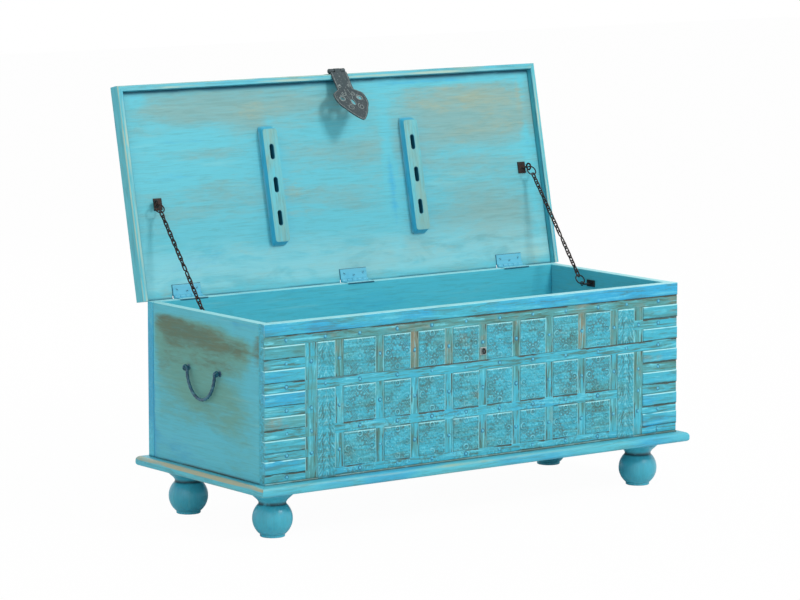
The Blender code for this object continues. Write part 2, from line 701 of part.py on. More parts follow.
def build_strap(middle, iron):
    """The hinged strap: a neck off the barrel's outer side, bent forward to a pointed spade."""
    out_y = HASP_AXIS_Y - HASP_BARREL_RADIUS
    in_y = out_y + HASP_STRAP_THICKNESS
    right = [(HASP_X + x, HASP_AXIS_Z - down) for x, down in HASP_OUTLINE]
    left = [(HASP_X - x, HASP_AXIS_Z - down) for x, down in HASP_OUTLINE if x > 0]
    outline = right + left[::-1]
    hole_z = HASP_AXIS_Z - HASP_HOLE_DOWN
    holes = [circle(HASP_X + side * HASP_HOLE_X, hole_z, HASP_HOLE_RADIUS, HOLE_SIDES) for side in (-1, 1)]
    half = HASP_SLOT_WIDTH / 2
    slot_top = HASP_AXIS_Z - HASP_SLOT_DOWN + HASP_SLOT_LENGTH / 2
    slot_foot = slot_top - HASP_SLOT_LENGTH
    holes.append([(HASP_X - half, slot_foot), (HASP_X - half, slot_top),
                  (HASP_X + half, slot_top), (HASP_X + half, slot_foot)])
    spade = prism("spade", [outline] + holes, along_y, out_y, in_y)
    bend_blade(spade, out_y)
    neck_top = HASP_AXIS_Z - HASP_PIN_RADIUS - 3 * GAP
    neck = box("neck", (HASP_X - middle, out_y, HASP_AXIS_Z - HASP_OUTLINE[1][1]),
               (HASP_X + middle, in_y, neck_top + HASP_PIN_RADIUS))
    barrel = knuckle(HASP_X - middle, HASP_X + middle, HASP_AXIS_Y, HASP_AXIS_Z, HASP_BARREL_RADIUS,
                     HASP_PIN_RADIUS)
    return fused("hasp_strap", [spade, neck, barrel], iron)


def bend_blade(obj, out_y):
    """Cut the blade across at the bend and turn what lies below it forward."""
    bend_z = HASP_AXIS_Z - HASP_BEND_AT
    bm = bmesh.new()
    bm.from_mesh(obj.data)
    everything = bm.verts[:] + bm.edges[:] + bm.faces[:]
    bmesh.ops.bisect_plane(bm, geom=everything, plane_co=(0, 0, bend_z), plane_no=(0, 0, 1))
    turn = Matrix.Rotation(-HASP_BEND, 4, "X")
    pivot = Vector((0, out_y, bend_z))
    for vert in bm.verts:
        if vert.co.z < bend_z - 1e-6:
            vert.co = pivot + turn @ (vert.co - pivot)
    bm.to_mesh(obj.data)
    bm.free()


def lid_eye_closed(side):
    return Vector((HALF_DEPTH - LID_EYE_UP[side], LID_UNDERSIDE - LID_EYE_PROUD))


def turned_about_pin(place, angle):
    offset = place - Vector((PIN_Y, PIN_Z))
    return Vector((PIN_Y + offset.x * cos(angle) - offset.y * sin(angle),
                   PIN_Z + offset.x * sin(angle) + offset.y * cos(angle)))


def eye(x, y, z):
    holes = [circle(y, z, EYE_RADIUS, PIN_SIDES), circle(y, z, EYE_HOLE_RADIUS, PIN_SIDES)]
    return prism("eye", holes, along_x, x - EYE_THICKNESS / 2, x + EYE_THICKNESS / 2)


def build_lid_bracket(side, iron):
    """Plate on the lid's inner face with an arm out to the chain's eye, modelled closed."""
    y, z = lid_eye_closed(side)
    x = CHAIN_X[side]
    plate_x = x - SIDES[side] * LID_BRACKET_INWARD
    top = LID_UNDERSIDE - GAP
    half_x, half_y = LID_BRACKET_WIDTH / 2, LID_BRACKET_HEIGHT / 2
    plate = box("plate", (plate_x - half_x, y - half_y, top - BRACKET_THICKNESS),
                (plate_x + half_x, y + half_y, top))
    shoulder = z + EYE_RADIUS - BRACKET_ARM_RADIUS / 2
    points = [(plate_x, y, top - BRACKET_THICKNESS / 2), (plate_x, y, shoulder + 2 * BRACKET_ARM_RADIUS),
              (x, y, shoulder)]
    return fused(side + "_chain_lid_bracket", [plate, tube("arm", points, BRACKET_ARM_RADIUS), eye(x, y, z)], iron)


def build_box_bracket(side, iron):
    """Plate on the end board's inner face with an arm in to the chain's lower eye."""
    sign = SIDES[side]
    x = CHAIN_X[side]
    y, z = BOX_EYE_Y, BOX_EYE_Z
    wall = sign * (HALF_LENGTH - BOARD - GAP)
    plate_y = y - BOX_BRACKET_FORWARD
    half_y, half_z = BOX_BRACKET_LENGTH / 2, BOX_BRACKET_HEIGHT / 2
    low, high = sorted((wall, wall - sign * BRACKET_THICKNESS))
    plate = box("plate", (low, plate_y - half_y, z - half_z), (high, plate_y + half_y, z + half_z))
    arm_y = y - ARM_FORWARD
    points = [(wall - sign * BRACKET_THICKNESS / 2, arm_y, z), (x, arm_y, z),
              (x, y - EYE_RADIUS + BRACKET_ARM_RADIUS / 2, z)]
    fused(side + "_chain_box_bracket", [plate, tube("arm", points, BRACKET_ARM_RADIUS), eye(x, y, z)], iron)


def link(start, end, across_x):
    """One chain link along local +Z, lying across X or across Y."""
    radius = LINK_WIDTH / 2 - LINK_WIRE
    points = []
    for centre, low in ((end - radius, 0.0), (start + radius, pi)):
        for i in range(5):
            turn = low + pi * i / 4
            side, up = radius * cos(turn), centre + radius * sin(turn)
            points.append((side, 0.0, up) if across_x else (0.0, side, up))
    return tube("link", points, LINK_WIRE, ring=True, roundness=0)


def chain_run(name, start, end, x, origin, direction, iron, even=False):
    """Fused links from start to end metres along the direction, on an empty at the run's pivot."""
    span = end - start
    count = max(1, round((span - LINK_BITE) / (LINK_LENGTH - 2 * LINK_WIRE + LINK_BITE)))
    if even:
        count = 2 * max(1, round(count / 2))
    step_in = 2 * LINK_WIRE - LINK_BITE
    length = (span + (count - 1) * step_in) / count
    links = []
    for number in range(count):
        low = start + number * (length - step_in)
        links.append(link(low, low + length, across_x=bool(number % 2)))
    obj = fused(name, links, iron)
    pivot = empty_at(name + "_pivot", (x, origin.x, origin.y))
    obj.parent = pivot
    pivot.rotation_euler.x = atan2(direction.y, direction.x) - pi / 2
    return obj, pivot


def chain_ring(name, pivot, iron):
    """The ring in an eye: its wire passes through the eye along X."""
    points = []
    for i in range(16):
        turn = 2 * pi * i / 16
        points.append((RING_RADIUS * sin(turn), 0.0, RING_RADIUS * (1 - cos(turn))))
    ring = tube(name, points, RING_WIRE, iron, ring=True)
    ring.parent = pivot
    return ring


def build_chain(side, iron):
    """Three rigid runs that fold as the lid closes; the lower two part at an open pivot."""
    x = CHAIN_X[side]
    closed_eye = lid_eye_closed(side)
    lid_eye = turned_about_pin(closed_eye, -LID_OPEN)
    box_eye = Vector((BOX_EYE_Y, BOX_EYE_Z))
    taut = (box_eye - lid_eye).length
    down = (box_eye - lid_eye) / taut
    reach = box_eye.x - closed_eye.x
    rise = box_eye.y - (closed_eye.y - UPPER_RUN)
    rest = taut - UPPER_RUN
    lower_run = (rest ** 2 - reach ** 2 - rise ** 2) / (2 * (rest - rise))
    middle_run = rest - lower_run
    hook = 2 * RING_RADIUS - RING_WIRE - LINK_WIRE - LOOP_CLEARANCE
    loop = 2 * LINK_WIRE + LOOP_CLEARANCE
    _, upper_pivot = chain_run(side + "_chain_upper", hook, UPPER_RUN, x, lid_eye, down, iron, even=True)
    chain_ring(side + "_chain_upper_ring", upper_pivot, iron)
    joint = lid_eye + down * UPPER_RUN
    chain_run(side + "_chain_middle", -loop, middle_run - OPEN_PIVOT_CLEARANCE, x, joint, down, iron)
    _, lower_pivot = chain_run(side + "_chain_lower", hook, lower_run - OPEN_PIVOT_CLEARANCE, x, box_eye,
                               -down, iron)
    chain_ring(side + "_chain_lower_ring", lower_pivot, iron)


def build_handle(side, iron):
    """A bail that drops between two eyes on the end board."""
    sign = SIDES[side]
    wall = sign * (HALF_LENGTH + GAP)
    pivot_x = sign * (HALF_LENGTH + HANDLE_STAND_OFF)
    eye_y = HANDLE_HALF_WIDTH + HANDLE_STUB * 0.65
    hole = HANDLE_ROD_RADIUS + HANDLE_HOLE_CLEARANCE
    for name, end in (("front", -1), ("rear", 1)):
        y = HANDLE_Y + end * eye_y
        half = HANDLE_EYE_THICKNESS / 2
        loops = [circle(pivot_x, HANDLE_Z, HANDLE_EYE_RADIUS, PIN_SIDES), circle(pivot_x, HANDLE_Z, hole, PIN_SIDES)]
        ear = prism("ear", loops, along_y, y - half, y + half)
        low, high = sorted((wall, wall + sign * HANDLE_ROSE_THICKNESS))
        rose = prism("rose", [circle(y, HANDLE_Z, HANDLE_ROSE_RADIUS, PIN_SIDES)], along_x, low, high)
        low, high = sorted((wall + sign * HANDLE_ROSE_THICKNESS / 2, pivot_x - sign * (hole + GAP)))
        shank = box("shank", (low, y - half * 0.8, HANDLE_Z - half), (high, y + half * 0.8, HANDLE_Z + half))
        smooth(fused("%s_handle_%s_eye" % (side, name), [rose, shank, ear], iron))
    ends = HANDLE_HALF_WIDTH + HANDLE_STUB
    points = [(0.0, -ends, 0.0)]
    for i in range(HANDLE_POINTS + 1):
        turn = pi * i / HANDLE_POINTS
        points.append((0.0, -HANDLE_HALF_WIDTH * cos(turn), -HANDLE_DROP * sin(turn)))
    points.append((0.0, ends, 0.0))
    bail = tube(side + "_handle_bail", points, HANDLE_ROD_RADIUS, iron, roundness=2)
    bail.location = (pivot_x, HANDLE_Y, HANDLE_Z)


def main():
    clear_scene()
    wood = material("painted_wood", (0.07, 0.42, 0.55), 0.55)
    base_wood = material("painted_base", (0.10, 0.45, 0.50), 0.5)
    straps = material("painted_straps", (0.05, 0.32, 0.45), 0.45, 0.2)
    rusty = material("dark_iron", (0.045, 0.035, 0.030), 0.6, 0.7)
    hasp_iron = material("hasp_iron", (0.085, 0.085, 0.090), 0.5, 0.7)
    painted = material("painted_iron", (0.06, 0.30, 0.42), 0.45, 0.3)

    build_front(wood, straps)
    build_boards(wood)
    build_base(base_wood)
    build_feet(base_wood)
    build_staple(rusty)

    lid = build_lid(wood) + build_hinges(painted)
    lid += [build_lid_bracket(side, rusty) for side in SIDES]
    plate, rod, strap = build_hasp(hasp_iron)
    lid += [plate, rod]
    hinge = empty_at("lid_hinge", (0.0, PIN_Y, PIN_Z))
    swing = empty_at("hasp_swing", (HASP_X, HASP_AXIS_Y, HASP_AXIS_Z))
    hang_on(swing, strap)
    hang_on(hinge, swing, *lid)
    swing.rotation_euler.x = LID_OPEN - HASP_LEAN
    hinge.rotation_euler.x = -LID_OPEN

    for side in SIDES:
        build_box_bracket(side, rusty)
        build_chain(side, rusty)
        build_handle(side, painted)


main()
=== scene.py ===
"""Looks of the carved storage chest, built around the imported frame.

Metres, in the frame's axes: +X along the chest, -Y out of the carved front, +Z up.
The lid's pieces are modelled closed and turned open about the hinge pins.
"""
import json
from math import atan2, ceil, cos, pi, radians, sin

import bmesh
import bpy
import numpy as np
from mathutils import Matrix, Vector
from mathutils.bvhtree import BVHTree


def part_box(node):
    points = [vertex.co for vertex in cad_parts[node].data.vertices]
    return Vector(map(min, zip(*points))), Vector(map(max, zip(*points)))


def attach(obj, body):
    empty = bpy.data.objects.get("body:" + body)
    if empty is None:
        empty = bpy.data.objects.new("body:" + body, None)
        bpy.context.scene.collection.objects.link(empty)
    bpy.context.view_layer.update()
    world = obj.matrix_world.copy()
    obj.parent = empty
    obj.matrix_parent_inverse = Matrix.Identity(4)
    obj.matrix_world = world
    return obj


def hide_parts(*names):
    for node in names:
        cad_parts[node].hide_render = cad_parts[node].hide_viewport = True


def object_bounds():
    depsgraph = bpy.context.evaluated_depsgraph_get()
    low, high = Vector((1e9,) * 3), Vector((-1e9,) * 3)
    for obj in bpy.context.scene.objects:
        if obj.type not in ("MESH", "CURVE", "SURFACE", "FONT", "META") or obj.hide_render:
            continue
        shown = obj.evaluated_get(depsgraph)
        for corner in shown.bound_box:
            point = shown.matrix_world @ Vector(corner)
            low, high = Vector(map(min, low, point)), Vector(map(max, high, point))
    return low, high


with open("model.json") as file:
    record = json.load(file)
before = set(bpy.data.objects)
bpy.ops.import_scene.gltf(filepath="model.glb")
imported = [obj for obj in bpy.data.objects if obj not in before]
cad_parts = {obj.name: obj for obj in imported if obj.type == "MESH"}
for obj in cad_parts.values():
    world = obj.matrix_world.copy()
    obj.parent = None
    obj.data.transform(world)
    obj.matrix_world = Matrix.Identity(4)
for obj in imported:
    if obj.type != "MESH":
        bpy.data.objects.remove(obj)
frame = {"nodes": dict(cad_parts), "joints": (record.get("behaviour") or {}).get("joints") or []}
CAD_BOUNDS = [list(corner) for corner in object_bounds()]

# Camera of the photograph
CAMERA_PLACE = (-4.60363, -6.14748, 1.33839)
CAMERA_HEADING = radians(36.555)
CAMERA_PITCH = radians(7.770)
CAMERA_LENS = 167.884

# Places that follow from the frame
JOINTS = {joint["name"]: joint for joint in frame["joints"]}
LID_PIN = Vector(JOINTS["lid_hinge"]["pos_m"])
LID_OPEN = radians(JOINTS["lid_hinge"]["range_deg"][1])
OPEN_LID = Matrix.Translation(LID_PIN) @ Matrix.Rotation(-LID_OPEN, 4, "X") @ Matrix.Translation(-LID_PIN)
CLOSE_LID = OPEN_LID.inverted()
FLOOR_Z = CAD_BOUNDS[0][2]
FLOOR_HALF = 12.0
SIDES = {"left": -1, "right": 1}

# Boards
BOARD_ROUND = 0.0025
BOARD_STEP = 0.020
EDGE_WEAR = 0.006
PANEL_STEP = 0.012
PANEL_ROUND = 0.0012
EDGING_STEP = 0.012
BATTEN_CORNER = 0.006
BATTEN_SLOPE = 0.008

# Carved front
FINE_STEP = 0.0013
EDGE_STEP = 0.0005
CARVE_DEPTH = 0.0019
LOZENGE = 0.0056
CHEVRON_PITCH = 0.0088
CHEVRON_LEAST = 0.034
PANEL_LEAST = 0.052
PANEL_MOST = 0.088
STUD_RADIUS = 0.0034
STUD_SIDES = 14
STUD_RISE = 0.0019
UPRIGHT_WIDEST = 0.035
LEVEL_WIDEST = 0.024
CORNER_STUDS = 0.052
HALF_MIDDLE_BAND = 0.00975

# Hardware
KNUCKLE_RADIUS = 0.0040
HINGE_KNUCKLES = 5
KNUCKLE_GAP = 0.0004
HINGE_SCREWS = ((0.14, 0.42), (0.50, 0.62), (0.86, 0.42))
SCREW_RADIUS = 0.0036
SCREW_RISE = 0.00018
LINK_PITCH = 0.0120
LINK_WIRE = 0.0015
LINK_HALF_WIDTH = 0.0036
LINK_TWIST = 0.15
RING_RADIUS = 0.01085
RING_WIRE = 0.00135
BRACKET_PLATE = 0.0022
BAIL_TOE = 0.0100


def srgb(red, green, blue):
    """A colour read as 0 to 255 from a screen, as the shaders want it."""
    return tuple((c / 255 / 12.92) if c < 11 else ((c / 255 + 0.055) / 1.055) ** 2.4
                 for c in (red, green, blue)) + (1.0,)


# Paint and metal colours
TURQUOISE = srgb(84, 190, 208)
PALE_TURQUOISE = srgb(140, 214, 218)
DEEP_TURQUOISE = srgb(44, 166, 208)
WORN_GREY = srgb(138, 180, 168)
BARE_TAN = srgb(184, 170, 142)
# Brown of grime and of painted shade in creases, the default colour of the dark mark
DIRT_AND_SHADE_BROWN = srgb(92, 76, 60)
EDGE_PALE = srgb(168, 232, 236)
FRONT_WORN = srgb(78, 150, 150)
FRONT_BARE = srgb(134, 126, 98)
RAIL_TAN = srgb(150, 180, 156)
RIM_CREAM = srgb(170, 202, 186)
EDGE_CREAM = srgb(206, 218, 198)
# Dark teal of painted shade in creases, gaps and slots, with some grime
DIRT_AND_SHADE_TEAL = srgb(12, 92, 116)
FIBRE_SHADE = srgb(78, 146, 150)
END_BROWN = srgb(88, 108, 88)
SCRATCH_DARK = srgb(70, 106, 90)
SCRATCH_PALE = srgb(110, 212, 228)
IRON_DARK = srgb(34, 27, 26)
IRON_RUST = srgb(74, 46, 36)
IRON_LIGHT = srgb(128, 112, 100)
HASP_GREY = srgb(58, 72, 76)
HASP_BROWN = srgb(72, 80, 84)
HASP_LIGHT = srgb(172, 186, 184)
WARM_STAIN = (1.2, 1.0, 0.85, 1.0)


# Random fields

def smoothstep(low, high, value):
    share = np.clip((value - low) / (high - low), 0.0, 1.0)
    return share * share * (3 - 2 * share)


def noise(a, b, seed):
    """Smooth random values between -1 and 1 over the lattice units a and b."""
    lattice = np.random.default_rng(seed).uniform(-1, 1, (256, 256))
    a, b = np.asarray(a, float), np.asarray(b, float)
    i, j = np.floor(a).astype(int), np.floor(b).astype(int)
    s, t = a - i, b - j
    s, t = s * s * (3 - 2 * s), t * t * (3 - 2 * t)
    i, j, k, m = i % 256, j % 256, (i + 1) % 256, (j + 1) % 256
    near = lattice[i, j] * (1 - s) + lattice[k, j] * s
    far = lattice[i, m] * (1 - s) + lattice[k, m] * s
    return near * (1 - t) + far * t


def cloud(a, b, seed, octaves=3):
    """Noise with finer and fainter noise added to it."""
    total = 0.0
    for octave in range(octaves):
        total = total + noise(a * 2 ** octave, b * 2 ** octave, seed + octave) / 2 ** octave
    return total / (2 - 0.5 ** (octaves - 1))


def soft_patches(patches, a, b):
    """Sum of soft spots (centre a, centre b, reach a, reach b, strength) at the places a, b."""
    total = np.zeros_like(a)
    for at_a, at_b, reach_a, reach_b, strength in patches:
        total += strength * np.exp(-((a - at_a) / reach_a) ** 2 - ((b - at_b) / reach_b) ** 2)
    return total


# Shapes: each is a list of vertices and a list of faces

def merged(*shapes):
    verts, faces = [], []
    for more_verts, more_faces in shapes:
        start = len(verts)
        verts += [tuple(v) for v in more_verts]
        faces += [tuple(start + i for i in face) for face in more_faces]
    return verts, faces


def moved(shape, matrix):
    return [tuple(matrix @ Vector(v)) for v in shape[0]], shape[1]


def frames_along(points, closed):
    """Two directions square to the path at each point, turned as little as possible."""
    count = len(points)
    ahead = []
    for i in range(count):
        after = points[(i + 1) % count] if closed or i + 1 < count else points[i]
        before = points[i - 1] if closed or i else points[i]
        ahead.append((after - before).normalized())
    side = ahead[0].orthogonal().normalized()
    sides = [side]
    for i in range(1, count):
        side = ahead[i - 1].rotation_difference(ahead[i]) @ side
        sides.append((side - ahead[i] * side.dot(ahead[i])).normalized())
    if closed:
        back = ahead[-1].rotation_difference(ahead[0]) @ sides[-1]
        slip = atan2(ahead[0].dot(back.cross(sides[0])), back.dot(sides[0]))
        sides = [Matrix.Rotation(slip * i / count, 3, ahead[i]) @ s for i, s in enumerate(sides)]
    return sides, [a.cross(s) for a, s in zip(ahead, sides)]


def sweep(points, radius, sides=10, closed=False):
    """A round bar along points. radius is one value or one for each point."""
    points = [Vector(p) for p in points]
    radii = radius if isinstance(radius, (list, tuple)) else [radius] * len(points)
    across, over = frames_along(points, closed)
    verts, faces = [], []
    for point, r, a, b in zip(points, radii, across, over):
        for k in range(sides):
            turn = 2 * pi * k / sides
            verts.append(tuple(point + a * (r * cos(turn)) + b * (r * sin(turn))))
    count = len(points)
    for i in range(count if closed else count - 1):
        here, there = i * sides, (i + 1) % count * sides
        for k in range(sides):
            n = (k + 1) % sides
            faces.append((here + k, here + n, there + n, there + k))
    if not closed:
        faces.append(tuple(range(sides - 1, -1, -1)))
        faces.append(tuple((count - 1) * sides + k for k in range(sides)))
    return verts, faces


def wire_ring(centre, radius, wire, first, second, steps=28):
    """A ring of round wire in the plane of two directions."""
    centre, first, second = Vector(centre), Vector(first), Vector(second)
    turns = [2 * pi * k / steps for k in range(steps)]
    return sweep([centre + (first * cos(t) + second * sin(t)) * radius for t in turns], wire, closed=True)


def lathe(profile, sides=48):
    """A solid of revolution about Z; the profile runs down its outer side as (radius, height)."""
    verts, faces = [], []
    rings = []
    for r, z in profile:
        if r < 1e-6:
            rings.append([len(verts)])
            verts.append((0.0, 0.0, z))
            continue
        rings.append(list(range(len(verts), len(verts) + sides)))
        for k in range(sides):
            turn = 2 * pi * k / sides
            verts.append((r * cos(turn), r * sin(turn), z))
    for upper, lower in zip(rings, rings[1:]):
        for k in range(sides):
            n = (k + 1) % sides
            corners = ((upper, k), (lower, k), (lower, n), (upper, n))
            face = [ring[i % len(ring)] for ring, i in corners]
            kept = [v for i, v in enumerate(face) if v != face[i - 1]]
            if len(kept) > 2:
                faces.append(tuple(kept))
    return verts, faces


def ruled(low, high, rounding, step):
    """Grid lines from low to high, close together where the edge is rounded and worn."""
    near = [0.0, 0.3 * rounding, 0.65 * rounding, rounding, rounding + EDGE_WEAR / 2, rounding + EDGE_WEAR]
    if high - low < 2.2 * near[-1]:
        near = near[:4]
    if high - low < 2.2 * rounding:
        return [low, high]
    count = max(1, ceil((high - low - 2 * near[-1]) / step))
    middle = np.linspace(low + near[-1], high - near[-1], count + 1)[1:-1]
    return [low + n for n in near] + list(middle) + [high - n for n in reversed(near)]


def rounded_block(low, high, rounding=BOARD_ROUND, step=BOARD_STEP):
    """A block between two corners with rounded edges, and how near each of its vertices is to an edge."""
    lines = [ruled(low[a], high[a], rounding, step) for a in range(3)]
    last = [len(line) - 1 for line in lines]
    index, verts, marks = {}, [], []

    def vert(*key):
        if key not in index:
            index[key] = len(verts)
            flat = Vector(lines[a][key[a]] for a in range(3))
            core = Vector(min(max(flat[a], low[a] + rounding), high[a] - rounding) for a in range(3))
            out = flat - core
            verts.append(tuple(core + out.normalized() * rounding) if out.length > 1e-9 else tuple(flat))
            reach = sorted(min(flat[a] - low[a], high[a] - flat[a]) for a in range(3))
            marks.append(1.0 - float(smoothstep(0.0, rounding + EDGE_WEAR, reach[1])))
        return index[key]

    faces = []
    for a in range(3):
        b, c = (a + 1) % 3, (a + 2) % 3
        for end in (0, last[a]):
            for i in range(last[b]):
                for j in range(last[c]):
                    ring = []
                    for u, v in ((i, j), (i + 1, j), (i + 1, j + 1), (i, j + 1)):
                        key = [0, 0, 0]
                        key[a], key[b], key[c] = end, u, v
                        ring.append(vert(*key))
                    faces.append(tuple(ring if end else ring[::-1]))
    return (verts, faces), marks


def outline_prism(outlines, low, high, upright=False):
    """Extrude flat outlines, the first one outside and the others holes, along Z, or along Y if upright."""
    def place(a, b, c):
        return (a, c, b) if upright else (a, b, c)

    bm = bmesh.new()
    for outline in outlines:
        loop = [bm.verts.new(place(a, b, low)) for a, b in outline]
        for here, after in zip(loop, loop[1:] + loop[:1]):
            bm.edges.new((here, after))
    bmesh.ops.triangle_fill(bm, edges=bm.edges[:], use_beauty=True)
    made = bmesh.ops.extrude_face_region(bm, geom=bm.faces[:])["geom"]
    step = Vector(place(0, 0, high)) - Vector(place(0, 0, low))
    for vert in [g for g in made if isinstance(g, bmesh.types.BMVert)]:
        vert.co += step
    bmesh.ops.recalc_face_normals(bm, faces=bm.faces[:])
    bm.verts.index_update()
    verts, faces = [tuple(v.co) for v in bm.verts], [tuple(v.index for v in f.verts) for f in bm.faces]
    bm.free()
    # The fill leaves its faces in an order that changes from run to run
    return verts, sorted(face[face.index(min(face)):] + face[:face.index(min(face))] for face in faces)


def arc(centre_a, centre_b, radius, start, end, steps):
    turns = [start + (end - start) * i / steps for i in range(steps + 1)]
    return [(centre_a + radius * cos(t), centre_b + radius * sin(t)) for t in turns]


def slot_outline(a, b, half_length, half_width, steps=8):
    """A slot with round ends, long along b."""
    run = half_length - half_width
    return arc(a, b + run, half_width, 0, pi, steps) + arc(a, b - run, half_width, pi, 2 * pi, steps)


def at(place, angle, axis):
    """Matrix of a turn about an axis and then a move to a place."""
    return Matrix.Translation(place) @ Matrix.Rotation(angle, 4, axis)


def pivot_of(joint):
    return Vector(JOINTS[joint]["pos_m"])


def linked(name, data):
    """A new object in the scene."""
    obj = bpy.data.objects.new(name, data)
    bpy.context.scene.collection.objects.link(obj)
    return obj


# Pieces

def make_piece(name, shape, look, body, nodes=(), marks=None, place=None, sharp=40.0, bevel=0.0):
    """A mesh with its look that rides a body and takes the place of CAD nodes."""
    slot, material = LOOKS[look]
    mesh = bpy.data.meshes.new(name)
    mesh.from_pydata(shape[0], [], shape[1])
    for mark, values in (marks or {}).items():
        layer = mesh.attributes.new(mark, "FLOAT", "POINT")
        layer.data.foreach_set("value", np.asarray(values, np.float32))
    mesh.materials.append(material)
    mesh.shade_smooth()
    mesh.set_sharp_from_angle(angle=radians(sharp))
    obj = linked(name, mesh)
    if bevel:
        rounding = obj.modifiers.new("worn edges", "BEVEL")
        rounding.width = bevel
        rounding.segments = 2
        rounding.limit_method = "ANGLE"
        rounding.angle_limit = radians(35)
    if place is not None:
        obj.matrix_world = place
    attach(obj, body)
    if nodes:
        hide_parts(*nodes)


def colour_node(node, look):
    """Give a CAD node that stays as it is the material of a look."""
    materials = frame["nodes"][node].data.materials
    materials.clear()
    materials.append(LOOKS[look][1])


def closed_box(node):
    """Corners of a lid node with the lid shut."""
    places = [CLOSE_LID @ v.co for v in frame["nodes"][node].data.vertices]
    return [Vector(pick(p[a] for p in places) for a in range(3)) for pick in (min, max)]


def board(name, look, node, axes, rubs=((), (), ()), rounding=BOARD_ROUND, outside=0):
    """A board in the place of its CAD node. rubs are soft patches of grey, of tan, and of grime and painted
    shade, along two axes.

    With outside -1 or 1 the patches fade on the face turned away from that end of X.
    """
    low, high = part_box(node)
    shape, edge = rounded_block(low, high, rounding)
    places = np.array(shape[0])
    # The top faces are pale all over: painted highlight where the light from above falls, with the wear of
    # the tops
    on_top = places[:, 2] > high.z - rounding * 0.4
    marks = {"edge": np.where(on_top, 1.0, 0.12 * np.array(edge))}
    turned_away = (places[:, 0] - (low.x + high.x) / 2) * outside < 0
    for mark, patches in zip(("age", "bare", "dirt"), rubs):
        rubbed = soft_patches(patches, places[:, axes[0]], places[:, axes[1]])
        marks[mark] = np.where(turned_away, 0.25, 1.0) * rubbed
    make_piece(name, shape, look, "chest", [node], marks)


# Materials

class Nodes:
    """Short forms for building one material's nodes."""

    def __init__(self, name):
        self.material = bpy.data.materials.new(name)
        self.material.use_nodes = True
        self.tree = self.material.node_tree
        self.shader = self.tree.nodes["Principled BSDF"]
        self.local = self.new("ShaderNodeTexCoord").outputs["Object"]

    def new(self, kind, inputs=None, **settings):
        """A node; its settings are made first, then each input is fed by its name or number."""
        node = self.tree.nodes.new(kind)
        for name, value in settings.items():
            setattr(node, name, value)
        for key, value in (inputs or {}).items():
            self.feed(node.inputs[key], value)
        return node

    def feed(self, socket, value):
        if isinstance(value, bpy.types.NodeSocket):
            self.tree.links.new(value, socket)
        else:
            socket.default_value = value

    def noise(self, scale, detail=4.0, roughness=0.55, distortion=0.0, offset=(0.0, 0.0, 0.0)):
        mapping = self.new("ShaderNodeMapping", {"Vector": self.local, "Scale": scale, "Location": offset})
        inputs = {"Vector": mapping.outputs["Vector"], "Scale": 1.0, "Detail": detail, "Roughness": roughness,
                  "Distortion": distortion}
        return self.new("ShaderNodeTexNoise", inputs).outputs["Fac"]

    def mark(self, name):
        return self.new("ShaderNodeAttribute", attribute_name=name).outputs["Fac"]

    def maths(self, operation, a, b=0.0, c=0.0):
        return self.new("ShaderNodeMath", {0: a, 1: b, 2: c}, operation=operation).outputs[0]

    def total(self, constant, *terms):
        """A constant plus each socket times its factor."""
        for socket, factor in terms:
            constant = self.maths("MULTIPLY_ADD", socket, factor, constant)
        return constant

    def facing(self, axis, sense):
        """1 where the piece's own surface faces one way along an axis, 0 where it doesn't."""
        normal = self.new("ShaderNodeTexCoord").outputs["Normal"]
        parts = self.new("ShaderNodeSeparateXYZ", {"Vector": normal})
        return self.ramp(parts.outputs[axis], 0.35 * sense, 0.8 * sense)

    def ramp(self, value, low, high, start=0.0, end=1.0):
        inputs = {"Value": value, "From Min": low, "From Max": high, "To Min": start, "To Max": end}
        return self.new("ShaderNodeMapRange", inputs, interpolation_type="SMOOTHSTEP").outputs["Result"]

    def blend(self, share, a, b, data_type="FLOAT"):
        """One value turning into another as share goes from 0 to 1."""
        inputs = {"Factor": share, "A": a, "B": b}
        return self.new("ShaderNodeMix", inputs, data_type=data_type).outputs["Result"]

    def mix(self, share, a, b):
        """One colour turning into another as share goes from 0 to 1."""
        return self.blend(share, a, b, "RGBA")

    def finish(self, colour, roughness, height, distance, strength):
        """Feed the shader and return the material."""
        bump = self.new("ShaderNodeBump", {"Height": height, "Distance": distance, "Strength": strength})
        given = {"Base Color": colour, "Roughness": roughness, "Normal": bump.outputs["Normal"]}
        for name, value in given.items():
            self.feed(self.shader.inputs[name], value)
        return self.material


def grain_scale(grain, along, across):
    return tuple(along if axis == grain else across for axis in "xyz")


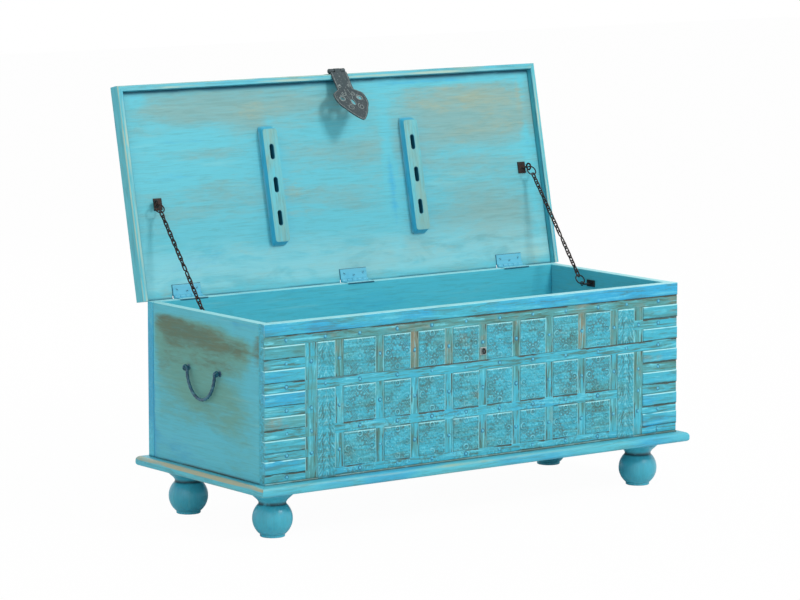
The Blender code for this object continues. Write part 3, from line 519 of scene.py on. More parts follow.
def painted(name, grain, seed, paint=TURQUOISE, deep=DEEP_TURQUOISE, worn=WORN_GREY, bare=BARE_TAN,
            edge_colour=EDGE_PALE, dirt_and_shade_colour=DIRT_AND_SHADE_BROWN, rub=0.0, tan=-0.35, contrast=1.0, spread=(3.0, 8.0),
            streak=(5.0, 70.0), lines=0.0, specks=0.0, roughness=0.5, front_rub=None, crossed=False,
            mottle=0.25):
    """Turquoise paint brushed along the grain, rubbed grey and tan in soft clouds, with worn edges and
    painted highlights.

    The marks age and bare of a piece add to the clouds, its edge mark lays on worn edges and painted
    highlights, and its dark mark lays on grime and painted shade; rub and tan shift them all over.
    lines are fine dark and pale scratches along the grain, specks the same in all directions where the
    mark carved is set. front_rub (axis, sense, amount) rubs the faces turned one way more. With crossed
    the grain turns upright where the mark upright is set.
    """
    n = Nodes(name)
    offset = Vector((seed, seed * 1.7, seed * 0.6))

    def grained(along, across, *look):
        value = n.noise(grain_scale(grain, along, across), *look)
        if crossed:
            value = n.blend(n.mark("upright"), value, n.noise(grain_scale("z", along, across), *look))
        return value

    clouds = n.noise(grain_scale(grain, *spread), 4.0, 0.55, 0.6, offset)
    finer = n.noise(grain_scale(grain, spread[0] * 2.3, spread[1] * 2.1), 5.0, 0.6, 0.8, offset * 1.3)
    brushed = grained(28.0, 110.0, 4.0, 0.65, 0.5, offset * 2.1)
    streaks = grained(*streak, 5.0, 0.62, 0.25, offset)
    fibres = grained(16.0, 480.0, 3.0, 0.6, 0.0, offset)
    rubbing = n.total(rub - 1.05 * contrast - mottle, (n.mark("age"), 1.0), (clouds, 1.5 * contrast),
                      (streaks, 0.6 * contrast), (brushed, 2 * mottle))
    if front_rub is not None:
        axis, sense, amount = front_rub
        rubbing = n.total(rubbing, (n.facing(axis, sense), amount))
    bareness = n.total(tan - 1.0 * contrast - mottle, (n.mark("bare"), 1.0), (finer, 1.2 * contrast),
                       (streaks, 0.8 * contrast), (rubbing, 0.2), (brushed, 2 * mottle))
    warm = tuple(channel * factor for channel, factor in zip(bare, WARM_STAIN))
    tone = n.mix(n.ramp(finer, 0.42, 0.62), bare, warm)

    # Layers of colour, each over the last: a value, where it starts and is full, its cover and its colour
    layers = [(rubbing, -0.05, -0.75, 0.9, deep), (rubbing, 0.05, 0.95, 0.92, worn),
              (bareness, 0.0, 0.8, 0.85, tone), (streaks, 0.56, 0.80, 0.40, PALE_TURQUOISE),
              (fibres, 0.50, 0.78, 0.34, FIBRE_SHADE)]
    if lines:
        scratches = grained(13.0, 175.0, 4.0, 0.7, 0.6, offset * 0.7)
        layers += [(scratches, 0.50, 0.62, lines, SCRATCH_DARK), (scratches, 0.46, 0.34, lines, SCRATCH_PALE)]
    if specks:
        spots = n.noise((210.0, 210.0, 210.0), 3.0, 0.65, 0.4, offset)
        layers += [(spots, 0.52, 0.66, specks, SCRATCH_DARK), (spots, 0.47, 0.34, specks, SCRATCH_PALE)]
    # Pale worn edges with painted highlight, then grime with painted shade in creases, hollows and gaps, both
    # broken by the finer clouds
    for mark, least, low, high, cover, tint in (("edge", 0.55, 0.15, 0.85, 0.92, edge_colour),
                                                ("dirt", 0.6, 0.1, 0.9, 0.94, dirt_and_shade_colour)):
        broken = n.maths("MULTIPLY", n.mark(mark), n.ramp(finer, 0.30, 0.55, least, 1.0))
        layers.append((broken, low, high, cover, tint))
    colour = paint
    for value, low, high, cover, tint in layers:
        share = n.ramp(value, low, high, 0.0, cover)
        if specks and value is spots:
            share = n.maths("MULTIPLY", share, n.mark("carved"))
        colour = n.mix(share, colour, tint)
    shine = n.ramp(rubbing, -0.4, 0.9, roughness - 0.06, roughness + 0.18)
    return n.finish(colour, shine, n.total(0.0, (streaks, 0.7), (fibres, 0.5)), 0.0006, 0.55)


def iron(name, base, light, rust, roughness, scale=1.0):
    """Dark forged iron, pitted and rusted in places and lighter where the mark edge is set."""
    n = Nodes(name)
    pits = n.noise((420 * scale,) * 3, 4.0, 0.6)
    patches = n.noise((90 * scale,) * 3, 4.0, 0.6, 0.5)
    colour = n.mix(n.ramp(patches, 0.42, 0.66, 0.0, 0.55), base, rust)
    colour = n.mix(n.ramp(pits, 0.54, 0.76, 0.0, 0.5), colour, light)
    colour = n.mix(n.maths("MULTIPLY", n.mark("edge"), n.ramp(pits, 0.30, 0.55, 0.45, 1.0)), colour, light)
    n.feed(n.shader.inputs["Metallic"], 0.55)
    shine = n.ramp(pits, 0.3, 0.7, roughness - 0.1, roughness + 0.15)
    height = n.maths("ADD", pits, n.maths("MULTIPLY", patches, 1.5))
    return n.finish(colour, shine, height, 0.0005, 0.8)


# Settings that several looks share
FRONT_PAINT = {"paint": srgb(58, 178, 202), "deep": srgb(36, 166, 214), "worn": FRONT_WORN,
               "bare": FRONT_BARE, "rub": 0.05, "tan": -0.30, "spread": (9.0, 14.0)}
RAIL_PAINT = {"streak": (6.0, 160.0), "lines": 0.3}
RIM_PAINT = {"edge_colour": RIM_CREAM, "spread": (7.0, 30.0), "streak": (6.0, 190.0), "dirt_and_shade_colour": DIRT_AND_SHADE_TEAL,
             "lines": 0.25}

# Each look: its slot and its material
LOOKS = {
    "front": ("painted_wood", painted(
        "painted_front", "x", 1.0, lines=0.5, specks=0.30, dirt_and_shade_colour=srgb(70, 84, 70), **FRONT_PAINT)),
    "straps": ("painted_straps", painted(
        "painted_straps", "x", 2.0, lines=0.8, specks=0.55, roughness=0.42, dirt_and_shade_colour=srgb(66, 70, 56),
        crossed=True, **FRONT_PAINT)),
    # The boards' paint is lighter than the front's: painted light, so the shaded inside of the chest shows as
    # bright as the outside
    "boards": ("painted_wood", painted(
        "painted_boards", "x", 3.0, paint=srgb(80, 200, 220), rub=-0.10, tan=-0.75, lines=0.15,
        dirt_and_shade_colour=DIRT_AND_SHADE_TEAL)),
    "lid": ("painted_wood", painted(
        "painted_lid", "x", 4.0, paint=srgb(94, 198, 214), deep=srgb(56, 180, 218),
        worn=srgb(130, 176, 174), bare=srgb(148, 174, 160), dirt_and_shade_colour=DIRT_AND_SHADE_TEAL, rub=0.28, tan=-0.30,
        spread=(3.0, 12.0), mottle=0.4, lines=0.12)),
    # The end boards rub greyer and browner than the front: their wear, and in part painted shade for the left
    # end, which the lamps light less
    "ends": ("painted_wood", painted(
        "painted_ends", "y", 5.0, worn=srgb(104, 162, 148), bare=END_BROWN, rub=0.12, tan=-0.32,
        lines=0.10, spread=(7.0, 26.0), mottle=0.35, contrast=0.75)),
    "battens": ("painted_wood", painted(
        "painted_battens", "y", 6.0, paint=srgb(84, 202, 220), deep=srgb(60, 184, 224), rub=-0.75,
        tan=-0.80, edge_colour=EDGE_CREAM, dirt_and_shade_colour=DIRT_AND_SHADE_TEAL, front_rub=("Z", -1, 1.35),
        spread=(7.0, 25.0), lines=0.2)),
    "rails": ("painted_base", painted(
        "painted_rails", "x", 7.0, rub=-0.20, tan=-0.50, edge_colour=RAIL_TAN, **RAIL_PAINT)),
    "side_rails": ("painted_base", painted(
        "painted_side_rails", "y", 7.5, tan=-0.45, edge_colour=srgb(172, 172, 140),
        bare=srgb(140, 140, 112), **RAIL_PAINT)),
    "rims": ("painted_wood", painted("painted_rims", "x", 8.0, rub=0.15, **RIM_PAINT)),
    "side_rims": ("painted_wood", painted(
        "painted_side_rims", "y", 8.5, paint=srgb(84, 190, 206), deep=srgb(52, 172, 208), rub=-0.1,
        tan=-0.45, **RIM_PAINT)),
    "feet": ("painted_base", painted(
        "painted_feet", "z", 9.0, paint=srgb(66, 176, 198), deep=srgb(38, 152, 190), roughness=0.34,
        worn=srgb(92, 150, 146), rub=-0.05, tan=-0.55, lines=0.10, dirt_and_shade_colour=srgb(18, 52, 62),
        spread=(24.0, 24.0))),
    "painted_iron": ("painted_iron", painted(
        "painted_iron", "x", 10.0, paint=srgb(100, 196, 222), rub=-0.1, tan=-0.7, roughness=0.4,
        spread=(40.0, 40.0), dirt_and_shade_colour=DIRT_AND_SHADE_TEAL)),
    "stud_iron": ("painted_straps", painted(
        "painted_studs", "x", 10.5, paint=srgb(60, 164, 196), edge_colour=srgb(96, 194, 218),
        dirt_and_shade_colour=srgb(34, 104, 132), rub=-0.1, tan=-0.7, spread=(40.0, 40.0))),
    "handle_iron": ("painted_iron", painted(
        "painted_handle", "y", 11.0, paint=srgb(30, 96, 122), deep=srgb(16, 58, 84), rub=-0.3, tan=-0.7,
        roughness=0.22, spread=(60.0, 60.0), dirt_and_shade_colour=DIRT_AND_SHADE_TEAL, contrast=1.3)),
    "dark_iron": ("dark_iron", iron("rusty_iron", IRON_DARK, IRON_LIGHT, IRON_RUST, 0.5)),
    "hasp_iron": ("dark_iron", iron("hasp_iron", HASP_GREY, HASP_LIGHT, HASP_BROWN, 0.48, 0.6)),
}


# Carved front

def plan(node, turn=Matrix.Identity(4)):
    """Grid lines of a CAD plate and how far forward its front stands over each cell, nan where it is open."""
    mesh = frame["nodes"][node].data
    places = [turn @ v.co for v in mesh.vertices]
    lines = []
    for axis in (0, 2):
        found = sorted({round(p[axis], 5) for p in places})
        lines.append([v for i, v in enumerate(found) if i == 0 or v - found[i - 1] > 2e-5])
    xs, zs = lines
    tree = BVHTree.FromPolygons(places, [tuple(p.vertices) for p in mesh.polygons])
    front = np.full((len(xs) - 1, len(zs) - 1), np.nan)
    for i in range(len(xs) - 1):
        for j in range(len(zs) - 1):
            start = Vector(((xs[i] + xs[i + 1]) / 2, -1.0, (zs[j] + zs[j + 1]) / 2))
            hit = tree.ray_cast(start, Vector((0, 1, 0)))[0]
            if hit is not None:
                front[i, j] = hit.y
    return np.array(xs), np.array(zs), front


def run_ends(mask, lines):
    """For each cell, where the unbroken run of cells along the first axis that holds it starts and ends."""
    starts, ends = np.zeros(mask.shape), np.zeros(mask.shape)
    for j in range(mask.shape[1]):
        i = 0
        while i < mask.shape[0]:
            k = i
            while k < mask.shape[0] and mask[k, j] == mask[i, j]:
                k += 1
            starts[i:k, j], ends[i:k, j] = lines[i], lines[k]
            i = k
    return starts, ends


def fine_lines(breaks, step, edge_step):
    lines = []
    for low, high in zip(breaks, breaks[1:]):
        lines.append(low)
        if high - low > 4 * edge_step:
            inner = np.linspace(low + edge_step, high - edge_step,
                                max(2, round((high - low - 2 * edge_step) / step) + 1))
            lines += list(inner)
        elif high - low > 2 * edge_step:
            lines.append((low + high) / 2)
    return np.array(lines + [breaks[-1]])


def lookup(lines, values):
    return np.clip(np.searchsorted(lines, values, side="right") - 1, 0, len(lines) - 2)


class Field:
    """Points of a fine grid over a plan, with the ends of the bar or block that each lies in."""

    def __init__(self, xs, zs, mask, step=FINE_STEP, edge_step=EDGE_STEP):
        self.lines_x, self.lines_z = fine_lines(xs, step, edge_step), fine_lines(zs, step, edge_step)
        self.x, self.z = np.meshgrid(self.lines_x, self.lines_z, indexing="ij")
        hair = 1e-5
        near = [mask[np.ix_(lookup(xs, self.lines_x + a), lookup(zs, self.lines_z + b))]
                for a in (-hair, hair) for b in (-hair, hair)]
        self.all_in = near[0] & near[1] & near[2] & near[3]
        mid_x = (self.lines_x[1:] + self.lines_x[:-1]) / 2
        mid_z = (self.lines_z[1:] + self.lines_z[:-1]) / 2
        self.cells = mask[np.ix_(lookup(xs, mid_x), lookup(zs, mid_z))]
        i, j = lookup(xs, self.lines_x), lookup(zs, self.lines_z)
        x0, x1 = run_ends(mask, xs)
        z0, z1 = (part.T for part in run_ends(mask.T, zs))
        self.x0, self.x1 = x0[np.ix_(i, j)], x1[np.ix_(i, j)]
        self.z0, self.z1 = z0[np.ix_(i, j)], z1[np.ix_(i, j)]
        self.wide, self.tall = self.x1 - self.x0, self.z1 - self.z0
        self.side = np.minimum(self.x - self.x0, self.x1 - self.x)
        self.ends = np.minimum(self.z - self.z0, self.z1 - self.z)
        self.reach = np.minimum(self.side, self.ends)
        self.luck = np.modf(np.abs(np.sin(self.x0 * 91.7 + self.z0 * 373.1) * 4375.85))[0]


def rosette(across, up, radius, petals):
    """Height from 0 to 1 of a flower with round petals and a boss."""
    turn, far = np.arctan2(up, across), np.hypot(across, up) / radius
    lobe = np.abs(np.cos(petals * turn / 2))
    outline = 0.60 + 0.40 * lobe ** 0.7
    petal = (1 - np.clip(far / outline, 0, 1) ** 5) * (0.45 + 0.55 * lobe ** 0.6)
    petal *= smoothstep(0.24, 0.36, far)
    return np.maximum(petal, 1 - smoothstep(0.14, 0.24, far))


def scroll(across, up, radius, hand):
    """Height from 0 to 1 of a curled tendril."""
    turn, far = np.arctan2(up, across), np.hypot(across, up) / radius
    curl = np.cos(hand * turn - 9.0 * far ** 0.8)
    return smoothstep(-0.25, 0.55, curl) * (1 - smoothstep(0.88, 1.0, far))


def panel_carving(f):
    """Rosettes, scrolls and beads that fill each bay, over a ground of small lozenges."""
    half_x, half_z = f.wide / 2, f.tall / 2
    across, up = f.x - f.x0 - half_x, f.z - f.z0 - half_z
    fold_x, fold_z = np.abs(across), np.abs(up)
    turned = f.luck * 2 * pi
    ground = np.abs(np.sin(pi * (across + up) / LOZENGE) * np.sin(pi * (across - up) / LOZENGE))
    height = 0.05 + 0.45 * smoothstep(0.25, 0.75, ground)
    far, turn = np.hypot(across, up), np.arctan2(up, across)
    ring = smoothstep(0.0022, 0.0012, np.abs(far - 0.0178))
    beads = ring * smoothstep(-0.2, 0.5, np.cos(14 * turn + turned))
    height = np.where(np.abs(far - 0.0178) < 0.0026, beads, height)
    motifs = ((0.0, 0.0, 0.0150, 8), (half_x - 0.0100, half_z - 0.0100, 0.0098, 6),
              (half_x - 0.0080, 0.0, 0.0082, 0), (0.0, half_z - 0.0080, 0.0082, 0))
    for x, z, r, petals in motifs:
        near = np.hypot(fold_x - x, fold_z - z) / r
        shape = rosette(fold_x - x, fold_z - z, r, petals) if petals else scroll(fold_x - x, fold_z - z, r, 1)
        height = np.where(near < 1.10, np.where(near < 1.0, shape, 0.05), height)
    return np.maximum(height, smoothstep(0.0018, 0.0008, f.reach))


def chevron_carving(f):
    """Steep paired leaves along a wavy stem."""
    middle = (f.x0 + f.x1) / 2 + 0.0016 * np.sin(2 * pi * f.z / (4 * CHEVRON_PITCH))
    across = np.abs(f.x - middle)
    wave = np.mod((f.z + across * 1.9) / (1.6 * CHEVRON_PITCH), 1.0)
    tooth = smoothstep(0.0, 0.38, wave) * (1 - smoothstep(0.62, 1.0, wave))
    vein = smoothstep(0.0010, 0.0020, np.abs(across - 0.0085))
    rib = smoothstep(0.0020, 0.0010, across)
    border = smoothstep(0.0034, 0.0024, f.side)
    return np.maximum(np.maximum(tooth * vein, rib), border)


def front_height(f):
    """Depth below the front plane and the marks for wear, painted highlight and painted shade over the carved
    board.
    """
    panels = f.all_in & (f.wide > PANEL_LEAST) & (f.wide < PANEL_MOST) & (f.tall > 0.040)
    chevrons = f.all_in & (f.wide > CHEVRON_LEAST) & (f.wide < PANEL_LEAST)
    ornament = panels | chevrons
    top_rail = f.z1 >= f.lines_z[-1] - 0.001
    carved = np.where(panels, panel_carving(f), np.where(chevrons, chevron_carving(f), 1.0))
    rough = cloud(f.x * 160, f.z * 160, 11)
    depth = (1 - carved) * CARVE_DEPTH
    depth += 0.0010 * np.exp(-(f.reach / 0.0011) ** 2) + 0.00022 * (rough + 1)
    depth += 0.00035 * (cloud(f.x * 18, f.z * 45, 21) + 1) * (f.reach > 0)

    # Pale along each block's top edge and on the carving's high points: painted highlight where the light
    # from above catches them, broken like wear
    broken = smoothstep(-0.75, -0.20, cloud(f.x * 22, f.z * 22, 35, 2))
    edge = smoothstep(0.0034, 0.0022, f.z1 - f.z) * ~top_rail * broken
    edge = np.maximum(edge, 0.35 * smoothstep(0.0018, 0.0006, f.side))
    edge = np.maximum(edge, 0.42 * ornament * smoothstep(0.75, 1.0, carved) * (rough > -0.1))

    # Dark in the carving's hollows, along each plain block's lower edge and towards the board's foot: painted
    # shade, with grime in the hollows
    dirt = np.where(ornament, smoothstep(0.35, 1.0, 1 - carved) * 0.58, 0.0)
    dirt *= smoothstep(-0.35, 0.35, cloud(f.x * 34, f.z * 34, 31) + 0.15)
    dirt = np.where(edge > 0.5, 0.0, dirt)
    lower_edge = 0.8 * smoothstep(0.0026, 0.0012, f.z - f.z0 + 0.0008 * rough) * ~top_rail
    dirt = np.maximum(dirt, np.where(ornament, 0.0, lower_edge) * broken)
    foot = smoothstep(0.012, 0.0, f.z - f.lines_z[0])

    age = np.where(ornament, 0.15, smoothstep(0.15, 0.95, f.luck) * 0.8 - 0.35)
    age += 0.45 * cloud(f.x * 12, f.z * 30, 41)
    top_age = -0.30 - 0.4 * smoothstep(-0.2, 0.5, f.x) + 0.4 * cloud(f.x * 6, f.z * 60, 43)
    bare = np.where(ornament, 0.45 * cloud(f.x * 26, f.z * 26, 45) + 0.10, 0.0)
    plain_bare = 0.55 * smoothstep(0.0, 0.6, cloud(f.x * 16, f.z * 60, 47)) - 0.1
    return depth, {"dirt": np.maximum(dirt, foot * 0.8), "edge": edge,
                   "age": np.where(top_rail, top_age, age),
                   "bare": np.where(ornament | top_rail, bare, plain_bare),
                   "carved": np.where(ornament, 1.0, 0.0)}


def relief_shape(f, y, back):
    """A closed plate over the cells that the field keeps, with its front at y and its rear at back."""
    rows, columns = f.x.shape
    used = np.zeros((rows, columns), bool)
    for a in (0, 1):
        for b in (0, 1):
            used[a:rows - 1 + a, b:columns - 1 + b] |= f.cells
    count = int(used.sum())
    number = -np.ones((rows, columns), int)
    number[used] = np.arange(count)
    front = np.stack([f.x[used], y[used], f.z[used]], axis=1)
    rear = front.copy()
    rear[:, 1] = (back + np.zeros_like(y))[used]
    i, j = np.nonzero(f.cells)
    faces = np.stack([number[i, j], number[i + 1, j], number[i + 1, j + 1], number[i, j + 1]], axis=1)
    all_faces = [faces, faces[:, ::-1] + count]
    padded = np.pad(f.cells, 1)
    for di, dj, start, end in ((0, -1, (0, 0), (1, 0)), (1, 0, (1, 0), (1, 1)), (0, 1, (1, 1), (0, 1)),
                               (-1, 0, (0, 1), (0, 0))):
        open_side = f.cells & ~padded[1 + di:di + rows, 1 + dj:dj + columns]
        i, j = np.nonzero(open_side)
        a, b = number[i + start[0], j + start[1]], number[i + end[0], j + end[1]]
        all_faces.append(np.stack([b, a, a + count, b + count], axis=1))
    return (np.concatenate([front, rear]).tolist(), np.concatenate(all_faces).tolist()), used


def plate_marks(used, **marks):
    """Values of each mark on a plate's front and rear; a single grid leaves the rear at 0."""
    values = {}
    for mark, grid in marks.items():
        front, rear = grid if isinstance(grid, tuple) else (grid, np.zeros_like(grid))
        values[mark] = np.concatenate([front[used], rear[used]])
    return values


def carved_front():
    """The front board: carved blocks that stand between the channels of the straps."""
    xs, zs, front = plan("front_board")
    low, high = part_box("front_board")
    block = front < low.y + 0.001
    f = Field(xs, zs, block)
    depth, marks = front_height(f)
    y = np.where(f.all_in, low.y + depth, np.nanmax(front))
    rim = (f.x <= xs[0]) | (f.x >= xs[-1]) | (f.z <= zs[0]) | (f.z >= zs[-1])
    on_block = block[np.ix_(lookup(xs, f.lines_x), lookup(zs, f.lines_z))]
    y = np.where(rim & on_block, low.y + 0.0012, y)
    f.cells = np.ones_like(f.cells)
    # The channel floors behind the straps are dark, less so at the board's ends: painted shade. The top face
    # and the front's top edge are pale: painted highlight.
    at_end = (f.x < low.x + 0.008) | (f.x > high.x - 0.008)
    dirt = np.where(f.all_in, marks["dirt"], np.where(at_end, 0.35, 0.95))
    edge = np.maximum(np.where(f.all_in, marks["edge"], 0), np.where(f.z > zs[-1] - 0.0015, 1.0, 0.0))
    marks["dirt"] = np.where(f.z > zs[-1] - 0.002, 0.0, dirt)
    marks["edge"] = (edge, (f.z >= zs[-1]).astype(float))
    shape, used = relief_shape(f, y, high.y)
    make_piece("carved_front", shape, "front", "chest", ["front_board"], plate_marks(used, **marks), sharp=60)


STRAP_AGE = {"top_band_straps": 0.75, "middle_band_straps": -0.10, "left_column_straps": 0.30,
             "right_upper_straps": 0.15, "right_lower_straps": 0.20}


def strap_net(node):
    """One net of straps in the place of its CAD node. Returns the net's grid lines and cells."""
    xs, zs, front = plan(node)
    low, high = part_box(node)
    cells = ~np.isnan(front)
    f = Field(xs, zs, cells)
    level = f.wide > f.tall
    rough = cloud(f.x * 190, f.z * 190, 51, 2)
    broken = smoothstep(-0.45, 0.05, cloud(f.x * 16, f.z * 16, 61, 2))
    waver = 0.0008 * cloud(f.x * 70, f.z * 70, 71, 2)
    split = smoothstep(-0.10, 0.35, cloud(f.x * 60, f.z * 22, 63, 2))
    patchy = smoothstep(0.1, 0.5, cloud(f.x * 14, f.z * 14, 67, 2))
    # Dark in the grooves down each upright, along each level strap's top edge under the block above, and
    # along its lower edge in the crease at the block below: painted shade, with grime along the top edges
    groove = 0.85 * smoothstep(0.0019, 0.0009, np.abs(f.side + waver - 0.0036)) * split * ~level
    upper = smoothstep(0.0036, 0.0020, f.z1 - f.z + waver * 1.6) * broken * level
    lower = 0.75 * smoothstep(0.0026, 0.0014, f.z - f.z0) * patchy * level
    depth = 0.0002 * (rough + 1) + 0.0006 * np.exp(-(f.reach / 0.0008) ** 2)
    depth += 0.0005 * groove + 0.0006 * upper
    drop = np.modf((f.z1 - f.z) / 0.085 + f.luck)[0]
    age = STRAP_AGE[node] + 0.7 * cloud(f.x * 9, f.z * 9, 81)
    age += np.where(level, 0.10, 0.6 * np.sin(pi * drop) + 0.1)
    bare = np.where(level, 0.0, 0.10) + 0.6 * cloud(f.x * 15, f.z * 15, 87)
    bare += 0.15 * (node == "top_band_straps")
    cross = level & (node == "middle_band_straps") & (f.z1 < zs[-1] - 0.005)
    shape, used = relief_shape(f, low.y + depth, high.y)
    marks = plate_marks(used, dirt=np.maximum(np.maximum(groove, upper), lower),
                        edge=0.75 * smoothstep(0.0019, 0.0008, f.side) * ~level, age=age, bare=bare,
                        upright=np.where(level, 0.0, 1.0), carved=np.where(cross, 1.0, 0.0))
    make_piece(node + "_hammered", shape, "straps", "chest", [node], marks, sharp=60)
    return xs, zs, cells


def stud_shape(x, y, z):
    """A dome standing out toward -Y on a thin dark washer, and its marks: painted shade with grime on the
    washer, painted highlight on the dome's top.
    """
    r, rise, foot = STUD_RADIUS, STUD_RISE, -0.4 * STUD_RISE
    profile = [(0.0, rise), (r * 0.45, rise * 0.9), (r * 0.82, rise * 0.5), (r, 0.0002), (r * 1.45, 0.0002),
               (r * 1.45, foot), (0.0, foot)]
    shape = lathe(profile, STUD_SIDES)
    count = len(shape[0])
    dome, cap = 1 + 2 * STUD_SIDES, 1 + STUD_SIDES
    # The washer is dark, painted shade with grime round the dome's foot; the dome's top is pale, a painted
    # highlight
    dirt = [0.0] * dome + [0.8] * (count - dome)
    edge = [0.9] * cap + [0.0] * (count - cap)
    return moved(shape, at((x, y, z), pi / 2, "X")), dirt, edge


def bar_centres(net, axis, widest):
    """Middles of a net's bars narrower than widest, along X (axis 0) or Z (axis 1)."""
    cells = net[2].T if axis else net[2]
    starts, ends = run_ends(cells, net[axis])
    spans = {(round(a, 5), round(b, 5)) for a, b, c in zip(starts.ravel(), ends.ravel(), cells.ravel())
             if c and b - a < widest}
    return sorted((a + b) / 2 for a, b in spans)


def studs(nets):
    """One dome stud in the middle of each level strap's bay and two or so down each upright."""
    uprights = {node: bar_centres(net, 0, UPRIGHT_WIDEST) for node, net in nets.items()}
    levels = {node: bar_centres(net, 1, LEVEL_WIDEST) for node, net in nets.items()}
    dividers = uprights["top_band_straps"]
    column, far_column = uprights["left_column_straps"][0], uprights["right_lower_straps"][0]
    stops = [column] + dividers + [far_column]
    bays = [(a + b) / 2 for a, b in zip(stops, stops[1:])]
    low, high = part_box("front_board")
    corners = (low.x + CORNER_STUDS, high.x - CORNER_STUDS)
    rows = levels["left_column_straps"]
    right_rows = levels["right_lower_straps"] + levels["right_upper_straps"]
    band_top = sum(nets["top_band_straps"][1][-2:]) / 2
    band_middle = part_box("middle_band_straps")[1].z - HALF_MIDDLE_BAND
    between = (band_top + band_middle) / 2
    cross = [z for z in levels["middle_band_straps"] if z < band_middle - 0.02]
    places = [(x, band_top) for x in bays + list(corners)]
    places += [(x, band_middle) for x in bays + [corners[1]]]
    places += [(corners[0], z) for z in rows] + [(corners[1], z) for z in right_rows]
    places += [(x, z) for x in bays[1:-1] for z in cross]
    places += [(x, z) for x in dividers for z in (between, rows[1], rows[3])]
    places += [(x, z) for x in (column, far_column) for z in (rows[1], rows[2], rows[3], between)]
    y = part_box("top_band_straps")[0].y + 0.0004
    shapes, dirt, edge = zip(*[stud_shape(x, y, z) for x, z in places])
    marks = {"dirt": sum(dirt, []), "edge": sum(edge, [])}
    make_piece("front_studs", merged(*shapes), "stud_iron", "chest", (), marks)


def build_front():
    carved_front()
    nets = {node: strap_net(node) for node in STRAP_AGE}
    studs(nets)


# Boards, base and feet

# Rub tables as patches of grey, of tan, and dark patches; in each, the long thin dark patch at z = -0.012 is
# painted shade where the base moulding meets the board
LEFT_END_RUBS = (
    ((0.10, 0.258, 0.12, 0.040, 1.1), (-0.07, 0.250, 0.12, 0.040, 1.0), (0.03, 0.19, 0.16, 0.06, 0.8),
     (-0.111, 0.289, 0.032, 0.010, -1.2), (0.192, 0.10, 0.010, 0.30, -0.9), (0.12, 0.02, 0.08, 0.05, -0.4),
     (0.0, 0.298, 0.22, 0.008, -0.6), (-0.17, 0.20, 0.03, 0.10, -0.4),
     (-0.10, 0.10, 0.10, 0.06, 0.4), (0.06, 0.12, 0.12, 0.04, 0.5)),
    ((0.15, 0.276, 0.045, 0.014, 0.85), (0.08, 0.272, 0.07, 0.014, 0.75), (0.01, 0.264, 0.07, 0.015, 0.65),
     (0.12, 0.242, 0.05, 0.022, 0.60), (-0.03, 0.240, 0.11, 0.022, 0.60), (-0.13, 0.250, 0.05, 0.016, 0.55),
     (0.14, 0.195, 0.05, 0.018, 0.5), (-0.186, 0.255, 0.008, 0.045, 0.8), (-0.05, 0.205, 0.10, 0.018, 0.45),
     (0.05, 0.11, 0.12, 0.012, 0.15)),
    ((0.16, 0.279, 0.06, 0.007, 0.30), (-0.213, 0.262, 0.006, 0.030, 0.5), (0.0, -0.012, 0.30, 0.005, 0.9)))
RIGHT_END_RUBS = (
    ((-0.06, 0.24, 0.10, 0.04, 0.8), (0.10, 0.10, 0.09, 0.07, 0.6), (-0.12, 0.04, 0.05, 0.04, -0.7)),
    ((0.05, 0.262, 0.08, 0.018, 0.9), (-0.10, 0.12, 0.06, 0.03, 0.5)),
    ((0.0, -0.012, 0.30, 0.005, 0.9), (0.08, 0.27, 0.06, 0.006, 0.3)))
BACK_RUBS = (
    ((-0.30, 0.20, 0.16, 0.05, 0.7), (0.28, 0.14, 0.20, 0.06, 0.6), (0.05, 0.05, 0.15, 0.04, -0.6),
     (-0.53, 0.16, 0.008, 0.14, -1.0), (0.53, 0.16, 0.008, 0.14, -0.6)),
    ((-0.25, 0.24, 0.12, 0.02, 0.9), (0.35, 0.10, 0.09, 0.03, 0.8)),
    ((0.0, -0.012, 0.90, 0.004, 0.9), (-0.53, 0.16, 0.008, 0.16, 0.16)))


def build_boards():
    board("back_panel", "boards", "back_board", (0, 2), BACK_RUBS, rounding=0.0012)
    board("left_end_panel", "ends", "left_end_board", (1, 2), LEFT_END_RUBS, outside=-1)
    board("right_end_panel", "ends", "right_end_board", (1, 2), RIGHT_END_RUBS, outside=1)
    board("floor_panel", "boards", "bottom_board", (0, 1))


def nose_section(width, depth, top_round, foot_round, wear, across=(), steps=6):
    """Section of a moulding as (distance from the outer face, height above its foot, edge wear, grime and
    painted shade).

    wear is for the rounded top and the rounded foot; across gives (share of the width, wear, grime and
    painted shade) over the foot.
    """
    # A little dark where the top meets the inner face: painted shade in the crease
    section = [(width, depth, 0.0, 0.2), (top_round + EDGE_WEAR, depth, 0.0, 0.0)]
    for i in range(steps + 1):
        turn = pi / 2 * i / steps
        edge = min(1.0, wear[0] * sin(2 * turn))
        section.append((top_round * (1 - sin(turn)), depth - top_round * (1 - cos(turn)), edge, 0.0))
    section.append((0.0, depth / 2, 0.0, 0.0))
    for i in range(steps + 1):
        turn = pi / 2 * i / steps
        inward, height = foot_round * (1 - cos(turn)), foot_round * (1 - sin(turn))
        section.append((inward, height, wear[1] * sin(2 * turn), 0.0))
    section += [(width * share, 0.0, edge, dirt) for share, edge, dirt in across]
    # Dark at the inner corner of the foot and up the inner face: painted shade on the side turned in toward
    # the board
    corner = 0.0010
    section += [(width - corner, 0.0, 0.0, 0.7), (width, corner, 0.0, 0.7), (width, 4 * corner, 0.0, 0.35)]
    return section


